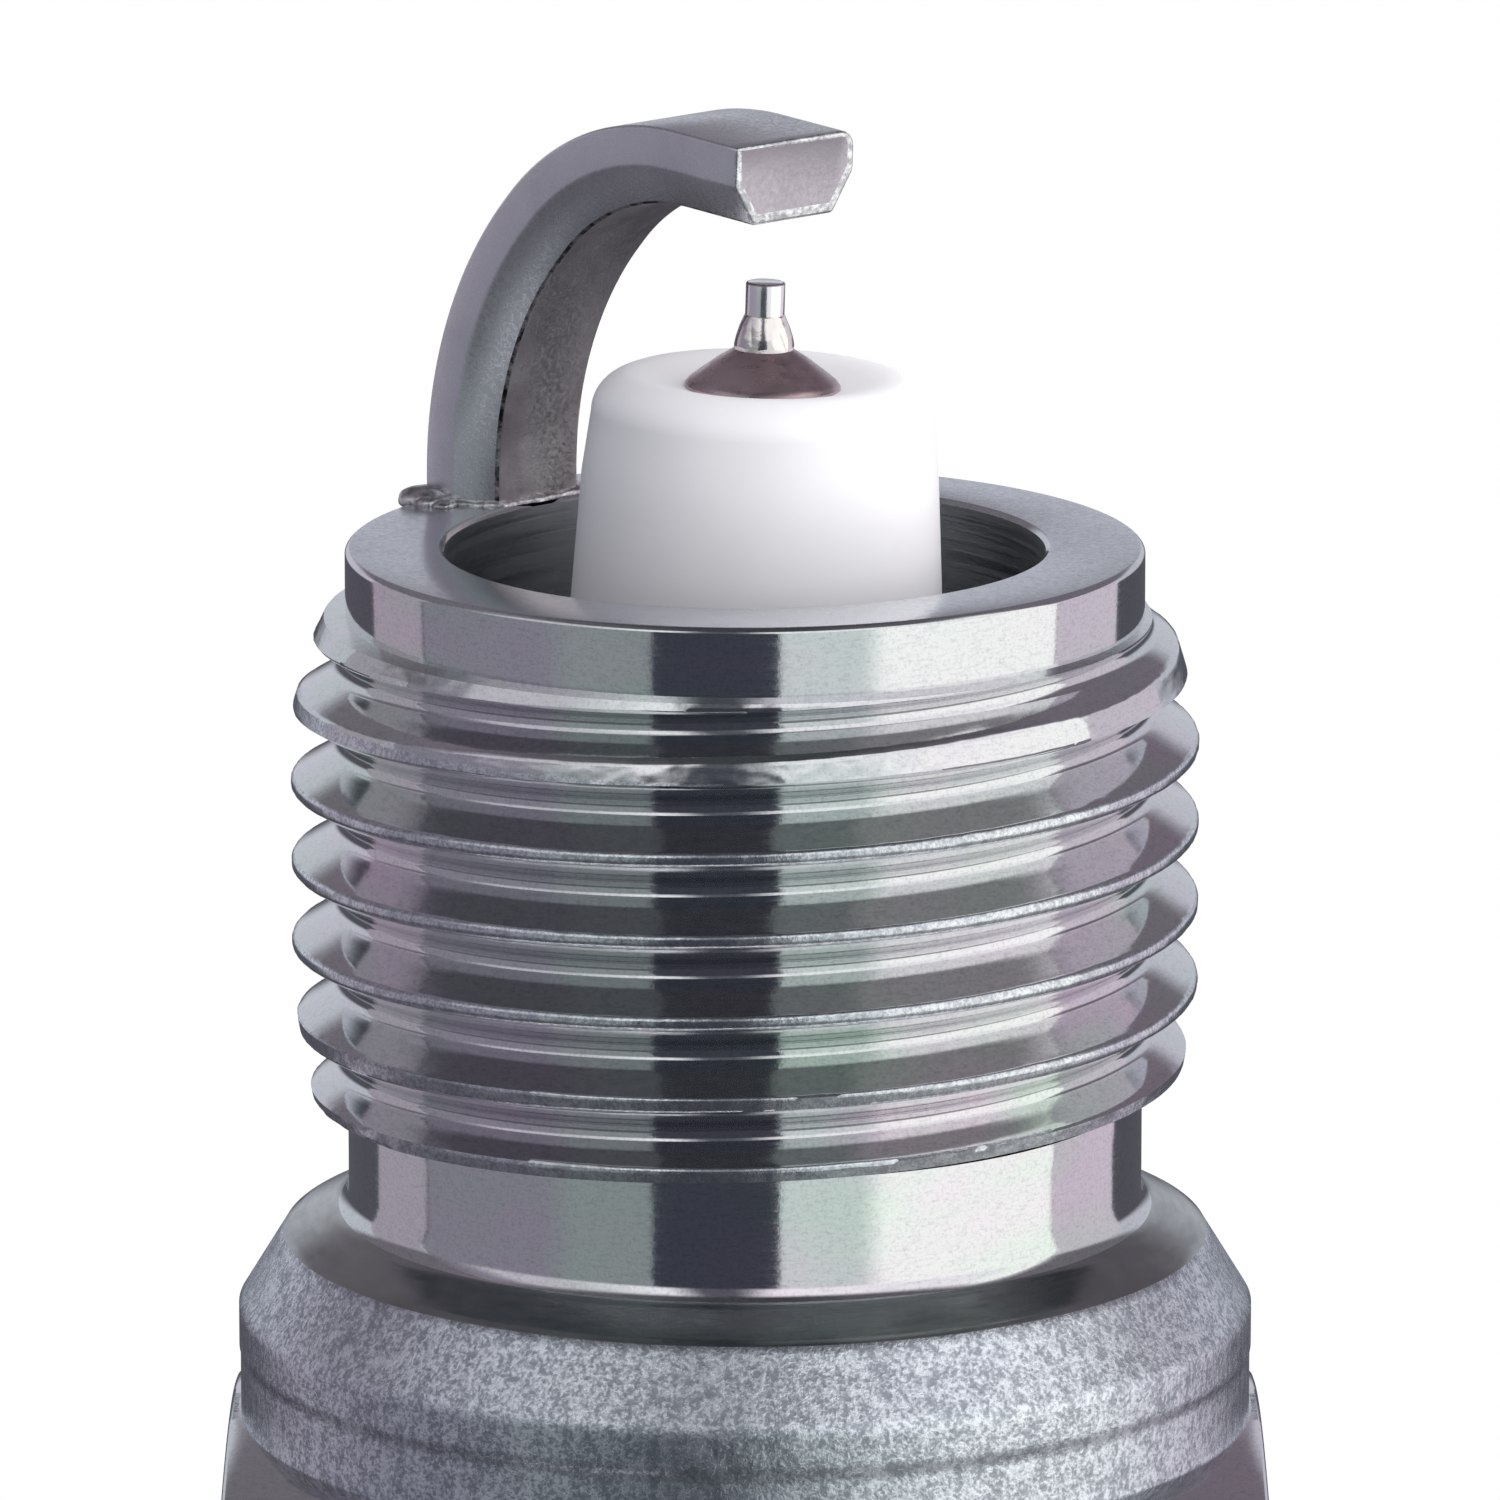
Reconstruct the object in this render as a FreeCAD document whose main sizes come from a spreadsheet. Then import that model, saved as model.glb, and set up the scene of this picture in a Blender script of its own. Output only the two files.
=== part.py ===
# Spark plug, 14 mm thread, conical seat, fine-wire tip. All lengths in millimetres.
# The axis is Z. Z = 0 is the gauge plane of the conical seat and +Z points at the firing end.
# The seat's gauge plane, the gap and the hexagon fix the positions of all the other pieces.
import FreeCAD, Part
import os
import re

import Sketcher

doc = FreeCAD.newDocument("spark_plug")
V = FreeCAD.Vector

SIZES = (
    # metal shell, outside
    ("reach", 11.2, "gauge plane to the end face"),
    ("gauge_radius", 7.4, "radius of the seat at the gauge plane"),
    ("seat_slope", 0.6128, "seat radius gained per millimetre of height, 31.5 degrees"),
    ("seat_top", 0.44, "height of the seat cone's upper edge"),
    ("collar_radius", 6.12, "plain collar at the firing end"),
    ("collar_length", 1.05, ""),
    ("edge_chamfer", 0.07, "collar's outer edge"),
    ("thread_radius", 6.97, "crests of the 14 mm thread"),
    ("root_radius", 6.2, "roots of the 14 mm thread"),
    ("thread_pitch", 1.25, ""),
    ("crest_width", 0.15, "flat on top of a full thread"),
    ("root_width", 0.22, "flat at the bottom of the groove"),
    ("lead_in_radius", 6.45, "where the tapered start of the thread begins"),
    ("lead_in_length", 1.5, "length of the tapered start of the thread"),
    ("runout_radius", 6.68, "last, lowest thread"),
    ("runout_length", 1.62, "length of the tapered end of the thread"),
    ("neck_radius", 6.12, ""),
    ("neck_top", 2.5, ""),
    ("neck_bottom", 1.22, ""),
    ("shoulder_rise", 0.42, "height of the smooth cone between the neck and the seat"),
    ("shoulder_inner", 6.28, "inner radius of that smooth cone"),
    ("barrel_radius", 7.83, "round part under the seat"),
    ("barrel_bottom", 2.4, "depth of the hexagon's upper face under the gauge plane"),
    ("hex_across_flats", 16.0, "spanner size"),
    ("hex_length", 9.5, ""),
    ("hex_face_radius", 7.95, "flat ring inside the hexagon's chamfers"),
    ("waist_radius", 6.95, "thin wall between the hexagon and the crimped lip"),
    ("waist_length", 1.3, ""),
    ("lip_radius", 7.1, "crimped lip"),
    ("lip_length", 2.2, ""),
    ("lip_roll", 0.7, "rounding of the crimped lip"),
    # metal shell, inside
    ("mouth_radius", 4.73, "inner edge of the end face"),
    ("mouth_chamfer", 0.13, ""),
    ("nose_bore_bottom", 1.6, "height of the ledge's upper edge"),
    ("ledge_radius", 3.95, ""),
    ("ledge_length", 0.8, "straight part of the ledge"),
    ("hex_bore_top", 3.3, "depth of the wide bore's upper edge"),
    # insulator
    ("tip_height", 2.65, "insulator tip above the end face"),
    ("tip_ring_radius", 1.95, "top of the rounded tip"),
    ("tip_edge_radius", 2.61, "side of the nose where the rounding starts"),
    ("tip_rounding", 0.62, ""),
    ("dish_depth", 0.12, "fall from the tip's ring to the bore"),
    ("nose_radius", 2.84, "nose at mid length"),
    ("nose_mid_drop", 3.45, "tip to the mid length of the nose"),
    ("nose_base_radius", 3.45, ""),
    ("body_radius", 4.65, ""),
    ("flange_radius", 6.1, "the insulator's widest part"),
    ("flange_top", 4.2, "depth of its upper face"),
    ("flange_length", 6.7, ""),
    ("flange_chamfer", 0.35, ""),
    ("head_radius", 5.15, "ribbed part outside the shell"),
    ("head_bottom", 43.2, "depth of the insulator's terminal end"),
    ("rib_count", 5, ""),
    ("rib_first", 20.5, "depth of the first groove's middle"),
    ("rib_pitch", 2.7, ""),
    ("rib_depth", 0.45, ""),
    ("rib_groove_width", 1.5, ""),
    ("wide_bore", 1.95, "radius"),
    ("wide_bore_top", 2.0, "depth where the wide bore starts"),
    # centre electrode
    ("electrode_radius", 1.15, ""),
    ("cone_rise", 0.46, "height of the cone at its end"),
    ("cone_top_radius", 0.45, ""),
    ("cone_foot_drop", 0.05, "insulator tip down to the foot of the cone"),
    ("electrode_flange_radius", 1.75, ""),
    ("electrode_flange_length", 0.9, ""),
    ("electrode_head_radius", 1.15, ""),
    ("electrode_head_length", 1.0, ""),
    ("core_radius", 0.75, "copper core"),
    ("core_drop", 1.3, "foot of the cone down to the top of the core"),
    ("pin_radius", 0.3, "iridium tip"),
    ("pin_length", 0.79, ""),
    ("pin_sunk", 0.28, "part of the pin inside the weld bead"),
    ("bead_height", 0.52, ""),
    # conductor between the electrode and the terminal
    ("lower_seal_bottom", 6.4, "depth"),
    ("resistor_length", 10.0, ""),
    ("upper_seal_length", 3.6, ""),
    ("stud_foot_radius", 1.5, ""),
    ("stud_foot_length", 3.2, ""),
    ("stud_foot_sunk", 2.2, "part of the foot inside the upper glass seal"),
    ("stud_shaft_radius", 1.35, ""),
    ("stud_flange_radius", 2.9, ""),
    ("stud_flange_length", 0.7, ""),
    ("stud_thread_radius", 2.0, "M4 end"),
    ("stud_root_radius", 1.57, ""),
    ("stud_pitch", 0.7, ""),
    ("stud_thread_length", 7.5, ""),
    # terminal nut
    ("nut_radius", 3.175, ""),
    ("nut_length", 9.1, ""),
    ("nut_foot_length", 1.7, ""),
    ("nut_groove_radius", 2.75, ""),
    ("nut_groove_length", 1.9, ""),
    ("nut_chamfer", 0.45, ""),
    # packings
    ("plate_thickness", 0.35, "conical packing on the ledge"),
    ("plate_inset", 0.05, "packing's edges inside the ledge and the insulator's body"),
    ("talc_length", 1.5, ""),
    # ground electrode, a bar welded on the end face and bent over the tip
    ("strap_angle", 133.0, "degrees about Z from +X"),
    ("strap_outer", 5.97, "distance of its outer face from the axis"),
    ("strap_width", 2.45, ""),
    ("strap_thickness", 1.25, ""),
    ("strap_chamfer_width", 0.4, "across the width"),
    ("strap_chamfer_depth", 0.62, "through the thickness"),
    ("strap_leg", 0.35, "straight rise from the weld"),
    ("strap_lower_radius", 6.58, "outer face of the lower bend"),
    ("strap_lower_angle", 43.4, "degrees from upright after the lower bend"),
    ("strap_middle", 0.17, "straight part between the bends"),
    ("strap_upper_radius", 4.73, "outer face of the upper bend"),
    ("strap_upper_angle", 93.2, "degrees from upright after the upper bend"),
    ("strap_tip", 1.5, "straight part over the pin"),
    ("weld_layer", 0.06, "fused metal between the end face and the bar"),
    ("weld_height", 0.36, ""),
    ("weld_margin", 0.45, "weld flash beyond each side of the bar"),
    ("weld_inset", 0.02, "weld flash to the mouth"),
    ("weld_edge", 0.1, "weld flash to the collar's chamfer"),
    # clearances
    ("electrode_gap", 0.05, "radial, centre electrode in the insulator"),
    ("body_gap", 0.1, "radial, insulator body in the shell"),
    ("flange_gap", 0.15, "radial, insulator flange in the shell"),
    ("lip_gap", 0.2, "radial, insulator in the crimped lip"),
    ("ring_gap", 0.05, "radial, packing rings' wire on each side"),
    ("seal_gap", 0.01, "radial, between pieces that are bonded or packed together"),
    ("pin_gap", 0.005, "radial, iridium pin in its weld bead"),
    ("nut_gap", 0.06, "radial, terminal nut over the stud's thread"),
    ("nut_seat_gap", 0.02, "terminal nut to the stud's flange"),
    ("groove_overlap", 0.12, "how far a thread cutter stands out of the crests"),
)

sheet = doc.addObject("Spreadsheet::Sheet", "Sizes")
size = {}
for row, (name, value, note) in enumerate(SIZES, start=1):
    sheet.set("A%d" % row, name)
    sheet.set("B%d" % row, str(value))
    sheet.set("C%d" % row, note)
    sheet.setAlias("B%d" % row, name)
    size[name] = value
doc.recompute()

WORD = re.compile(r"[a-z][a-z_]+")


def bound(text):
    """The same formula with the sheet's name in front of each size."""
    return WORD.sub(lambda m: "Sizes." + m.group(0) if m.group(0) in size else m.group(0), text)


def value_of(text):
    """The number that a formula gives, read back from the sheet."""
    probe.setExpression("Position.x", bound(text))
    probe.recompute()
    return float(probe.Position.x)


probe = doc.addObject("Part::FeaturePython", "probe")
probe.addProperty("App::PropertyVector", "Position")


def origin_plane(body, role):
    return [item for item in body.Origin.OriginFeatures if item.Role == role][0]


def new_body(name):
    body = doc.addObject("PartDesign::Body", name)
    body.Label = name
    return body


def new_sketch(body, name, role="XZ_Plane"):
    sketch = body.newObject("Sketcher::SketchObject", name)
    sketch.AttachmentSupport = (origin_plane(body, role), [""])
    sketch.MapMode = "FlatFace"
    return sketch


def outline(sketch, points):
    """Close straight lines through points given as pairs of formulas, each one bound."""
    places = [V(value_of(x), value_of(y), 0) for x, y in points]
    first = sketch.GeometryCount
    count = len(places)
    for i in range(count):
        sketch.addGeometry(Part.LineSegment(places[i], places[(i + 1) % count]), False)
    for i in range(count):
        following = first + (i + 1) % count
        sketch.addConstraint(Sketcher.Constraint("Coincident", first + i, 2, following, 1))
    for i, (x, y) in enumerate(points):
        for kind, formula, at in (("DistanceX", x, places[i].x), ("DistanceY", y, places[i].y)):
            limit = Sketcher.Constraint(kind, -1, 1, first + i, 1, at)
            number = sketch.addConstraint(limit)
            name = "%s_%d" % (kind[-1].lower(), first + i)
            sketch.renameConstraint(number, name)
            sketch.setExpression("Constraints." + name, bound(formula))
    doc.recompute()
    return sketch


def turned(body, name, points):
    """A full turn about Z of an outline given as radius and height."""
    sketch = outline(new_sketch(body, name + "_outline"), points)
    turn = body.newObject("PartDesign::Revolution", name)
    turn.Profile = sketch
    turn.ReferenceAxis = (sketch, ["V_Axis"])
    turn.Angle = 360
    body.Tip = turn
    doc.recompute()
    return turn


def round_edges(body, name, feature, radius, wanted):
    """Fillet the circular edges that lie at the wanted radius and height formulas."""
    names = []
    for r_text, z_text in wanted:
        r_at, z_at = value_of(r_text), value_of(z_text)
        for number, edge in enumerate(feature.Shape.Edges, start=1):
            curve = edge.Curve
            if not isinstance(curve, Part.Circle):
                continue
            if abs(curve.Radius - r_at) < 1e-4 and abs(curve.Center.z - z_at) < 1e-4:
                names.append("Edge%d" % number)
    fillet = body.newObject("PartDesign::Fillet", name)
    fillet.Base = (feature, names)
    fillet.setExpression("Radius", bound(radius))
    body.Tip = fillet
    doc.recompute()
    return fillet


def cut_thread(body, name, middle, crest, root, pitch, flat, root_flat, height):
    """Cut a right-hand groove with 60 degree flanks, starting on the -X side."""
    half = "(%s) / 2 - (%s) / 2" % (pitch, flat)
    wide = "(%s + groove_overlap * 0.57735)" % half
    out = "-(%s + groove_overlap)" % crest
    points = [
        (out, "%s - %s" % (middle, wide)),
        ("-(%s)" % root, "%s - (%s) / 2" % (middle, root_flat)),
        ("-(%s)" % root, "%s + (%s) / 2" % (middle, root_flat)),
        (out, "%s + %s" % (middle, wide)),
    ]
    sketch = outline(new_sketch(body, name + "_outline"), points)
    groove = body.newObject("PartDesign::SubtractiveHelix", name)
    groove.Profile = sketch
    groove.ReferenceAxis = (sketch, ["V_Axis"])
    groove.Mode = 0
    groove.LeftHanded = False
    groove.Reversed = False
    groove.setExpression("Pitch", bound(pitch))
    groove.setExpression("Height", bound(height))
    body.Tip = groove
    doc.recompute()
    return groove


# radii of holes, each from the piece inside it
ELECTRODE_BORE = "(electrode_radius + electrode_gap)"
BODY_BORE = "(body_radius + body_gap)"
HEX_BORE = "(flange_radius + flange_gap)"
LIP_HOLE = "(head_radius + lip_gap)"
RING_WIRE = "((%s - head_radius) / 2 - ring_gap)" % HEX_BORE

# levels that several pieces share
SEAT_R = "gauge_radius - seat_top * seat_slope"
BARREL_Z = "-(barrel_radius - gauge_radius) / seat_slope"
HEX_R = "hex_across_flats / 2 * 1.1547"
HEX_TOP = "-barrel_bottom"
HEX_END = "-barrel_bottom - hex_length"
WAIST_END = HEX_END + " - waist_length"
LIP_END = WAIST_END + " - lip_length"
LEDGE_FALL = "nose_bore_bottom - (mouth_radius - mouth_chamfer - ledge_radius)"
SEAT_Z = LEDGE_FALL + " - ledge_length"
PLATE_FALL = "plate_thickness * 1.41421"
FLANGE_END = "-flange_top - flange_length"
TALC_TOP = "%s - 2 * %s" % (FLANGE_END, RING_WIRE)
TALC_END = TALC_TOP + " - talc_length"
PACK_END = "%s - 2 * %s" % (TALC_END, RING_WIRE)
TIP = "reach + tip_height"
CONE_FOOT = TIP + " - cone_foot_drop"
CONE_TOP = CONE_FOOT + " + cone_rise"
FLANGE_REST = "-wide_bore_top - (wide_bore - %s)" % ELECTRODE_BORE
ELECTRODE_FLANGE_END = FLANGE_REST + " - electrode_flange_length"
ELECTRODE_END = ELECTRODE_FLANGE_END + " - electrode_head_length"
RESISTOR_TOP = "-lower_seal_bottom"
RESISTOR_END = RESISTOR_TOP + " - resistor_length"
UPPER_SEAL_END = RESISTOR_END + " - upper_seal_length"
STUD_TOP = UPPER_SEAL_END + " + stud_foot_sunk"
STUD_FOOT_END = STUD_TOP + " - stud_foot_length"
STUD_FLANGE_END = "-head_bottom - stud_flange_length"
STUD_END = STUD_FLANGE_END + " - stud_thread_length"
NUT_TOP = STUD_FLANGE_END + " - nut_seat_gap"
NUT_END = NUT_TOP + " - nut_length"


def build_shell():
    body = new_body("metal_shell")
    shape = turned(body, "shell_turning", [
        ("mouth_radius", "reach"),
        ("collar_radius - edge_chamfer", "reach"),
        ("collar_radius", "reach - edge_chamfer"),
        ("collar_radius", "reach - collar_length"),
        ("lead_in_radius", "reach - collar_length - 0.05"),
        ("lead_in_radius + 0.16", "reach - collar_length - 0.05 - lead_in_length * 0.2"),
        ("lead_in_radius + 0.35", "reach - collar_length - 0.05 - lead_in_length * 0.62"),
        ("thread_radius", "reach - collar_length - 0.05 - lead_in_length"),
        ("thread_radius", "neck_top + 0.18 + runout_length"),
        ("runout_radius", "neck_top + 0.18"),
        ("neck_radius", "neck_top"),
        ("neck_radius", "neck_bottom"),
        ("neck_radius + 0.04", "neck_bottom - 0.18"),
        ("shoulder_inner", "seat_top + shoulder_rise"),
        (SEAT_R, "seat_top"),
        ("barrel_radius", BARREL_Z),
        ("barrel_radius", HEX_TOP),
        ("hex_face_radius", HEX_TOP),
        (HEX_R, "%s - (%s - hex_face_radius) * 0.577" % (HEX_TOP, HEX_R)),
        (HEX_R, "%s + (%s - hex_face_radius) * 0.577" % (HEX_END, HEX_R)),
        ("hex_face_radius", HEX_END),
        ("waist_radius", HEX_END),
        ("waist_radius", WAIST_END),
        ("lip_radius", WAIST_END + " - 0.3"),
        ("lip_radius", LIP_END),
        (LIP_HOLE, LIP_END),
        (LIP_HOLE, PACK_END + " - 0.1"),
        (LIP_HOLE + " + 0.3", PACK_END),
        (HEX_BORE, PACK_END),
        (HEX_BORE, "-hex_bore_top"),
        (BODY_BORE, "-hex_bore_top + 0.3"),
        (BODY_BORE, "%s - (%s - ledge_radius)" % (SEAT_Z, BODY_BORE)),
        ("ledge_radius", SEAT_Z),
        ("ledge_radius", LEDGE_FALL),
        ("mouth_radius - mouth_chamfer", "nose_bore_bottom"),
        ("mouth_radius - mouth_chamfer", "reach - mouth_chamfer"),
    ])
    round_edges(body, "lip_rounding", shape, "lip_roll", [("lip_radius", LIP_END)])
    flats = new_sketch(body, "hexagon_flats", "XY_Plane")
    corner = value_of(HEX_R)
    ring = flats.addGeometry(Part.Circle(V(0, 0, 0), V(0, 0, 1), corner * 1.3), False)
    flats.addConstraint(Sketcher.Constraint("Coincident", ring, 3, -1, 1))
    number = flats.addConstraint(Sketcher.Constraint("Radius", ring, corner * 1.3))
    flats.renameConstraint(number, "waste")
    flats.setExpression("Constraints.waste", bound("(%s) * 1.3" % HEX_R))
    half = "hex_across_flats / 2"
    side = "hex_across_flats / 2 * 0.57735"
    outline(flats, [
        (half, side),
        ("0 * %s" % half, HEX_R),
        ("-%s" % half, side),
        ("-%s" % half, "-(%s)" % side),
        ("0 * %s" % half, "-(%s)" % HEX_R),
        (half, "-(%s)" % side),
    ])
    pocket = body.newObject("PartDesign::Pocket", "hexagon")
    pocket.Profile = flats
    pocket.Type = "Length"
    pocket.Midplane = True
    pocket.setExpression("Length", bound("4 * (barrel_bottom + hex_length)"))
    body.Tip = pocket
    doc.recompute()
    start = "(neck_top - 0.574)"
    cut_thread(body, "main_thread", start, "thread_radius", "root_radius", "thread_pitch",
               "crest_width", "root_width", "reach - 0.2 - %s" % start)
    return body


def build_insulator():
    body = new_body("insulator")
    plate_z = "%s + ledge_radius - nose_base_radius - %s" % (SEAT_Z, PLATE_FALL)
    shape = turned(body, "insulator_turning", [
        (ELECTRODE_BORE, TIP + " - dish_depth"),
        ("tip_ring_radius", TIP),
        ("tip_edge_radius", TIP),
        ("nose_radius - 0.11", TIP + " - nose_mid_drop * 0.45"),
        ("nose_radius", TIP + " - nose_mid_drop"),
        ("nose_base_radius", "nose_bore_bottom + 0.4"),
        ("nose_base_radius", plate_z),
        ("body_radius", "%s - (body_radius - nose_base_radius)" % plate_z),
        ("body_radius", "-flange_top"),
        ("flange_radius - flange_chamfer", "-flange_top"),
        ("flange_radius", "-flange_top - flange_chamfer"),
        ("flange_radius", FLANGE_END + " + flange_chamfer"),
        ("flange_radius - flange_chamfer", FLANGE_END),
        ("head_radius", FLANGE_END),
        ("head_radius", "-head_bottom"),
        ("wide_bore", "-head_bottom"),
        ("wide_bore", FLANGE_REST),
        (ELECTRODE_BORE, "-wide_bore_top"),
    ])
    round_edges(body, "tip_round", shape, "tip_rounding", [("tip_edge_radius", TIP)])
    round_edges(body, "end_round", body.Tip, "flange_chamfer", [("head_radius", "-head_bottom")])
    floor = "head_radius - rib_depth"
    mouth = "rib_groove_width / 2"
    sketch = outline(new_sketch(body, "rib_outline"), [
        ("head_radius + 0.2", "-rib_first - %s - 0.1" % mouth),
        (floor, "-rib_first - %s * 0.5" % mouth),
        (floor, "-rib_first + %s * 0.5" % mouth),
        ("head_radius + 0.2", "-rib_first + %s + 0.1" % mouth),
    ])
    groove = body.newObject("PartDesign::Groove", "rib_groove")
    groove.Profile = sketch
    groove.ReferenceAxis = (sketch, ["V_Axis"])
    groove.Angle = 360
    body.Tip = groove
    doc.recompute()
    pattern = body.newObject("PartDesign::LinearPattern", "rib_grooves")
    pattern.Originals = [groove]
    pattern.Direction = (sketch, ["V_Axis"])
    pattern.Reversed = True
    pattern.setExpression("Occurrences", bound("rib_count"))
    pattern.setExpression("Length", bound("(rib_count - 1) * rib_pitch"))
    body.Tip = pattern
    doc.recompute()
    return body


def build_electrode():
    sheath = new_body("center_electrode")
    core_r = "core_radius + seal_gap"
    core_top = CONE_FOOT + " - core_drop"
    turned(sheath, "sheath_turning", [
        ("0 * core_radius", CONE_TOP),
        ("cone_top_radius", CONE_TOP),
        ("cone_top_radius + 0.23", CONE_FOOT + " + cone_rise * 0.48"),
        ("electrode_radius", CONE_FOOT),
        ("electrode_radius", "-wide_bore_top + electrode_gap"),
        ("electrode_flange_radius",
         "-wide_bore_top - (electrode_flange_radius - %s)" % ELECTRODE_BORE),
        ("electrode_flange_radius", ELECTRODE_FLANGE_END),
        ("electrode_head_radius", ELECTRODE_FLANGE_END),
        ("electrode_head_radius", ELECTRODE_END),
        (core_r, ELECTRODE_END),
        (core_r, core_top),
        ("0 * core_radius", core_top + " + core_radius * 0.5"),
    ])
    core = new_body("copper_core")
    turned(core, "core_turning", [
        ("0 * core_radius", core_top + " + core_radius * 0.5 - seal_gap"),
        ("core_radius", core_top + " - seal_gap"),
        ("core_radius", ELECTRODE_END),
        ("0 * core_radius", ELECTRODE_END),
    ])
    bead_top = CONE_TOP + " + bead_height"
    bead = new_body("tip_weld")
    hole = "pin_radius + pin_gap"
    turned(bead, "bead_turning", [
        ("0 * pin_radius", CONE_TOP),
        ("cone_top_radius", CONE_TOP),
        ("cone_top_radius - 0.04", CONE_TOP + " + bead_height * 0.35"),
        ("cone_top_radius - 0.08", CONE_TOP + " + bead_height * 0.7"),
        (hole + " + 0.015", bead_top),
        (hole, bead_top),
        (hole, bead_top + " - pin_sunk"),
        ("0 * pin_radius", bead_top + " - pin_sunk"),
    ])
    pin = new_body("iridium_tip")
    pin_top = bead_top + " - pin_sunk + pin_length"
    turned(pin, "pin_turning", [
        ("0 * pin_radius", pin_top),
        ("pin_radius - 0.02", pin_top),
        ("pin_radius", pin_top + " - 0.02"),
        ("pin_radius", bead_top + " - pin_sunk"),
        ("0 * pin_radius", bead_top + " - pin_sunk"),
    ])


def build_conductor():
    fill = "wide_bore - seal_gap"
    lower = new_body("lower_glass_seal")
    turned(lower, "lower_seal_turning", [
        ("electrode_head_radius + seal_gap", ELECTRODE_FLANGE_END),
        (fill, ELECTRODE_FLANGE_END),
        (fill, RESISTOR_TOP),
        ("0 * wide_bore", RESISTOR_TOP),
        ("0 * wide_bore", ELECTRODE_END),
        ("electrode_head_radius + seal_gap", ELECTRODE_END),
    ])
    resistor = new_body("resistor")
    turned(resistor, "resistor_turning", [
        ("0 * wide_bore", RESISTOR_TOP),
        (fill, RESISTOR_TOP),
        (fill, RESISTOR_END),
        ("0 * wide_bore", RESISTOR_END),
    ])
    upper = new_body("upper_glass_seal")
    turned(upper, "upper_seal_turning", [
        ("0 * wide_bore", RESISTOR_END),
        (fill, RESISTOR_END),
        (fill, UPPER_SEAL_END),
        ("stud_foot_radius + seal_gap", UPPER_SEAL_END),
        ("stud_foot_radius + seal_gap", STUD_TOP),
        ("0 * wide_bore", STUD_TOP),
    ])
    stud = new_body("terminal_stud")
    foot = [("0 * stud_foot_radius", STUD_TOP)]
    for step in range(4):
        top = "%s - stud_foot_length * %.4f" % (STUD_TOP, step / 4)
        foot.append(("stud_foot_radius - 0.15", top))
        foot.append(("stud_foot_radius", top + " - stud_foot_length * 0.08"))
        foot.append(("stud_foot_radius", top + " - stud_foot_length * 0.17"))
    turned(stud, "stud_turning", foot + [
        ("stud_shaft_radius", STUD_FOOT_END),
        ("stud_shaft_radius", "-head_bottom"),
        ("stud_flange_radius", "-head_bottom"),
        ("stud_flange_radius", STUD_FLANGE_END),
        ("stud_thread_radius", STUD_FLANGE_END),
        ("stud_thread_radius", STUD_END + " + 0.4"),
        ("stud_root_radius", STUD_END),
        ("0 * stud_foot_radius", STUD_END),
    ])
    cut_thread(stud, "stud_thread", "(%s - 0.9)" % STUD_END, "stud_thread_radius",
               "stud_root_radius", "stud_pitch", "stud_pitch / 8", "stud_pitch / 5",
               "stud_thread_length + 0.1")


def build_nut():
    body = new_body("terminal_nut")
    hole = "stud_thread_radius + nut_gap"
    foot_end = NUT_TOP + " - nut_foot_length"
    groove_end = foot_end + " - nut_groove_length"
    shape = turned(body, "nut_turning", [
        (hole, NUT_TOP),
        ("nut_radius - nut_chamfer * 0.5", NUT_TOP),
        ("nut_radius", NUT_TOP + " - nut_chamfer * 0.5"),
        ("nut_radius", foot_end),
        ("nut_groove_radius", foot_end + " - 0.25"),
        ("nut_groove_radius", groove_end + " + 0.25"),
        ("nut_radius", groove_end),
        ("nut_radius", NUT_END),
        ("0 * nut_radius", NUT_END),
        ("0 * nut_radius", STUD_END + " - 0.3 - (%s) * 0.5" % hole),
        (hole, STUD_END + " - 0.3"),
    ])
    round_edges(body, "nut_rounding", shape, "nut_chamfer", [("nut_radius", NUT_END)])


def build_packings():
    plate = new_body("plate_packing")
    inner, outer = "ledge_radius + plate_inset", "body_radius - plate_inset"
    upper = SEAT_Z + " - (%s - ledge_radius)"
    lower = upper + " - " + PLATE_FALL
    turned(plate, "plate_turning", [
        (inner, upper % inner),
        (outer, upper % outer),
        (outer, lower % outer),
        (inner, lower % inner),
    ])
    middle = "(%s + head_radius) / 2" % HEX_BORE
    rings = (("packing_ring_lower", "%s - %s" % (FLANGE_END, RING_WIRE)),
             ("packing_ring_upper", "%s - %s" % (TALC_END, RING_WIRE)))
    for name, level in rings:
        ring = new_body(name)
        sketch = new_sketch(ring, name + "_outline")
        at = V(value_of(middle), value_of(level), 0)
        radius = value_of(RING_WIRE)
        wire = sketch.addGeometry(Part.Circle(at, V(0, 0, 1), radius), False)
        limits = (("Radius", Sketcher.Constraint("Radius", wire, radius), RING_WIRE),
                  ("Across", Sketcher.Constraint("DistanceX", -1, 1, wire, 3, at.x), middle),
                  ("Level", Sketcher.Constraint("DistanceY", -1, 1, wire, 3, at.y), level))
        for label, limit, formula in limits:
            number = sketch.addConstraint(limit)
            sketch.renameConstraint(number, label)
            sketch.setExpression("Constraints." + label, bound(formula))
        turn = ring.newObject("PartDesign::Revolution", name + "_turning")
        turn.Profile = sketch
        turn.ReferenceAxis = (sketch, ["V_Axis"])
        turn.Angle = 360
        ring.Tip = turn
        doc.recompute()
    talc = new_body("talc_fill")
    turned(talc, "talc_turning", [
        ("head_radius + seal_gap", TALC_TOP),
        (HEX_BORE + " - seal_gap", TALC_TOP),
        (HEX_BORE + " - seal_gap", TALC_END),
        ("head_radius + seal_gap", TALC_END),
    ])


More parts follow.
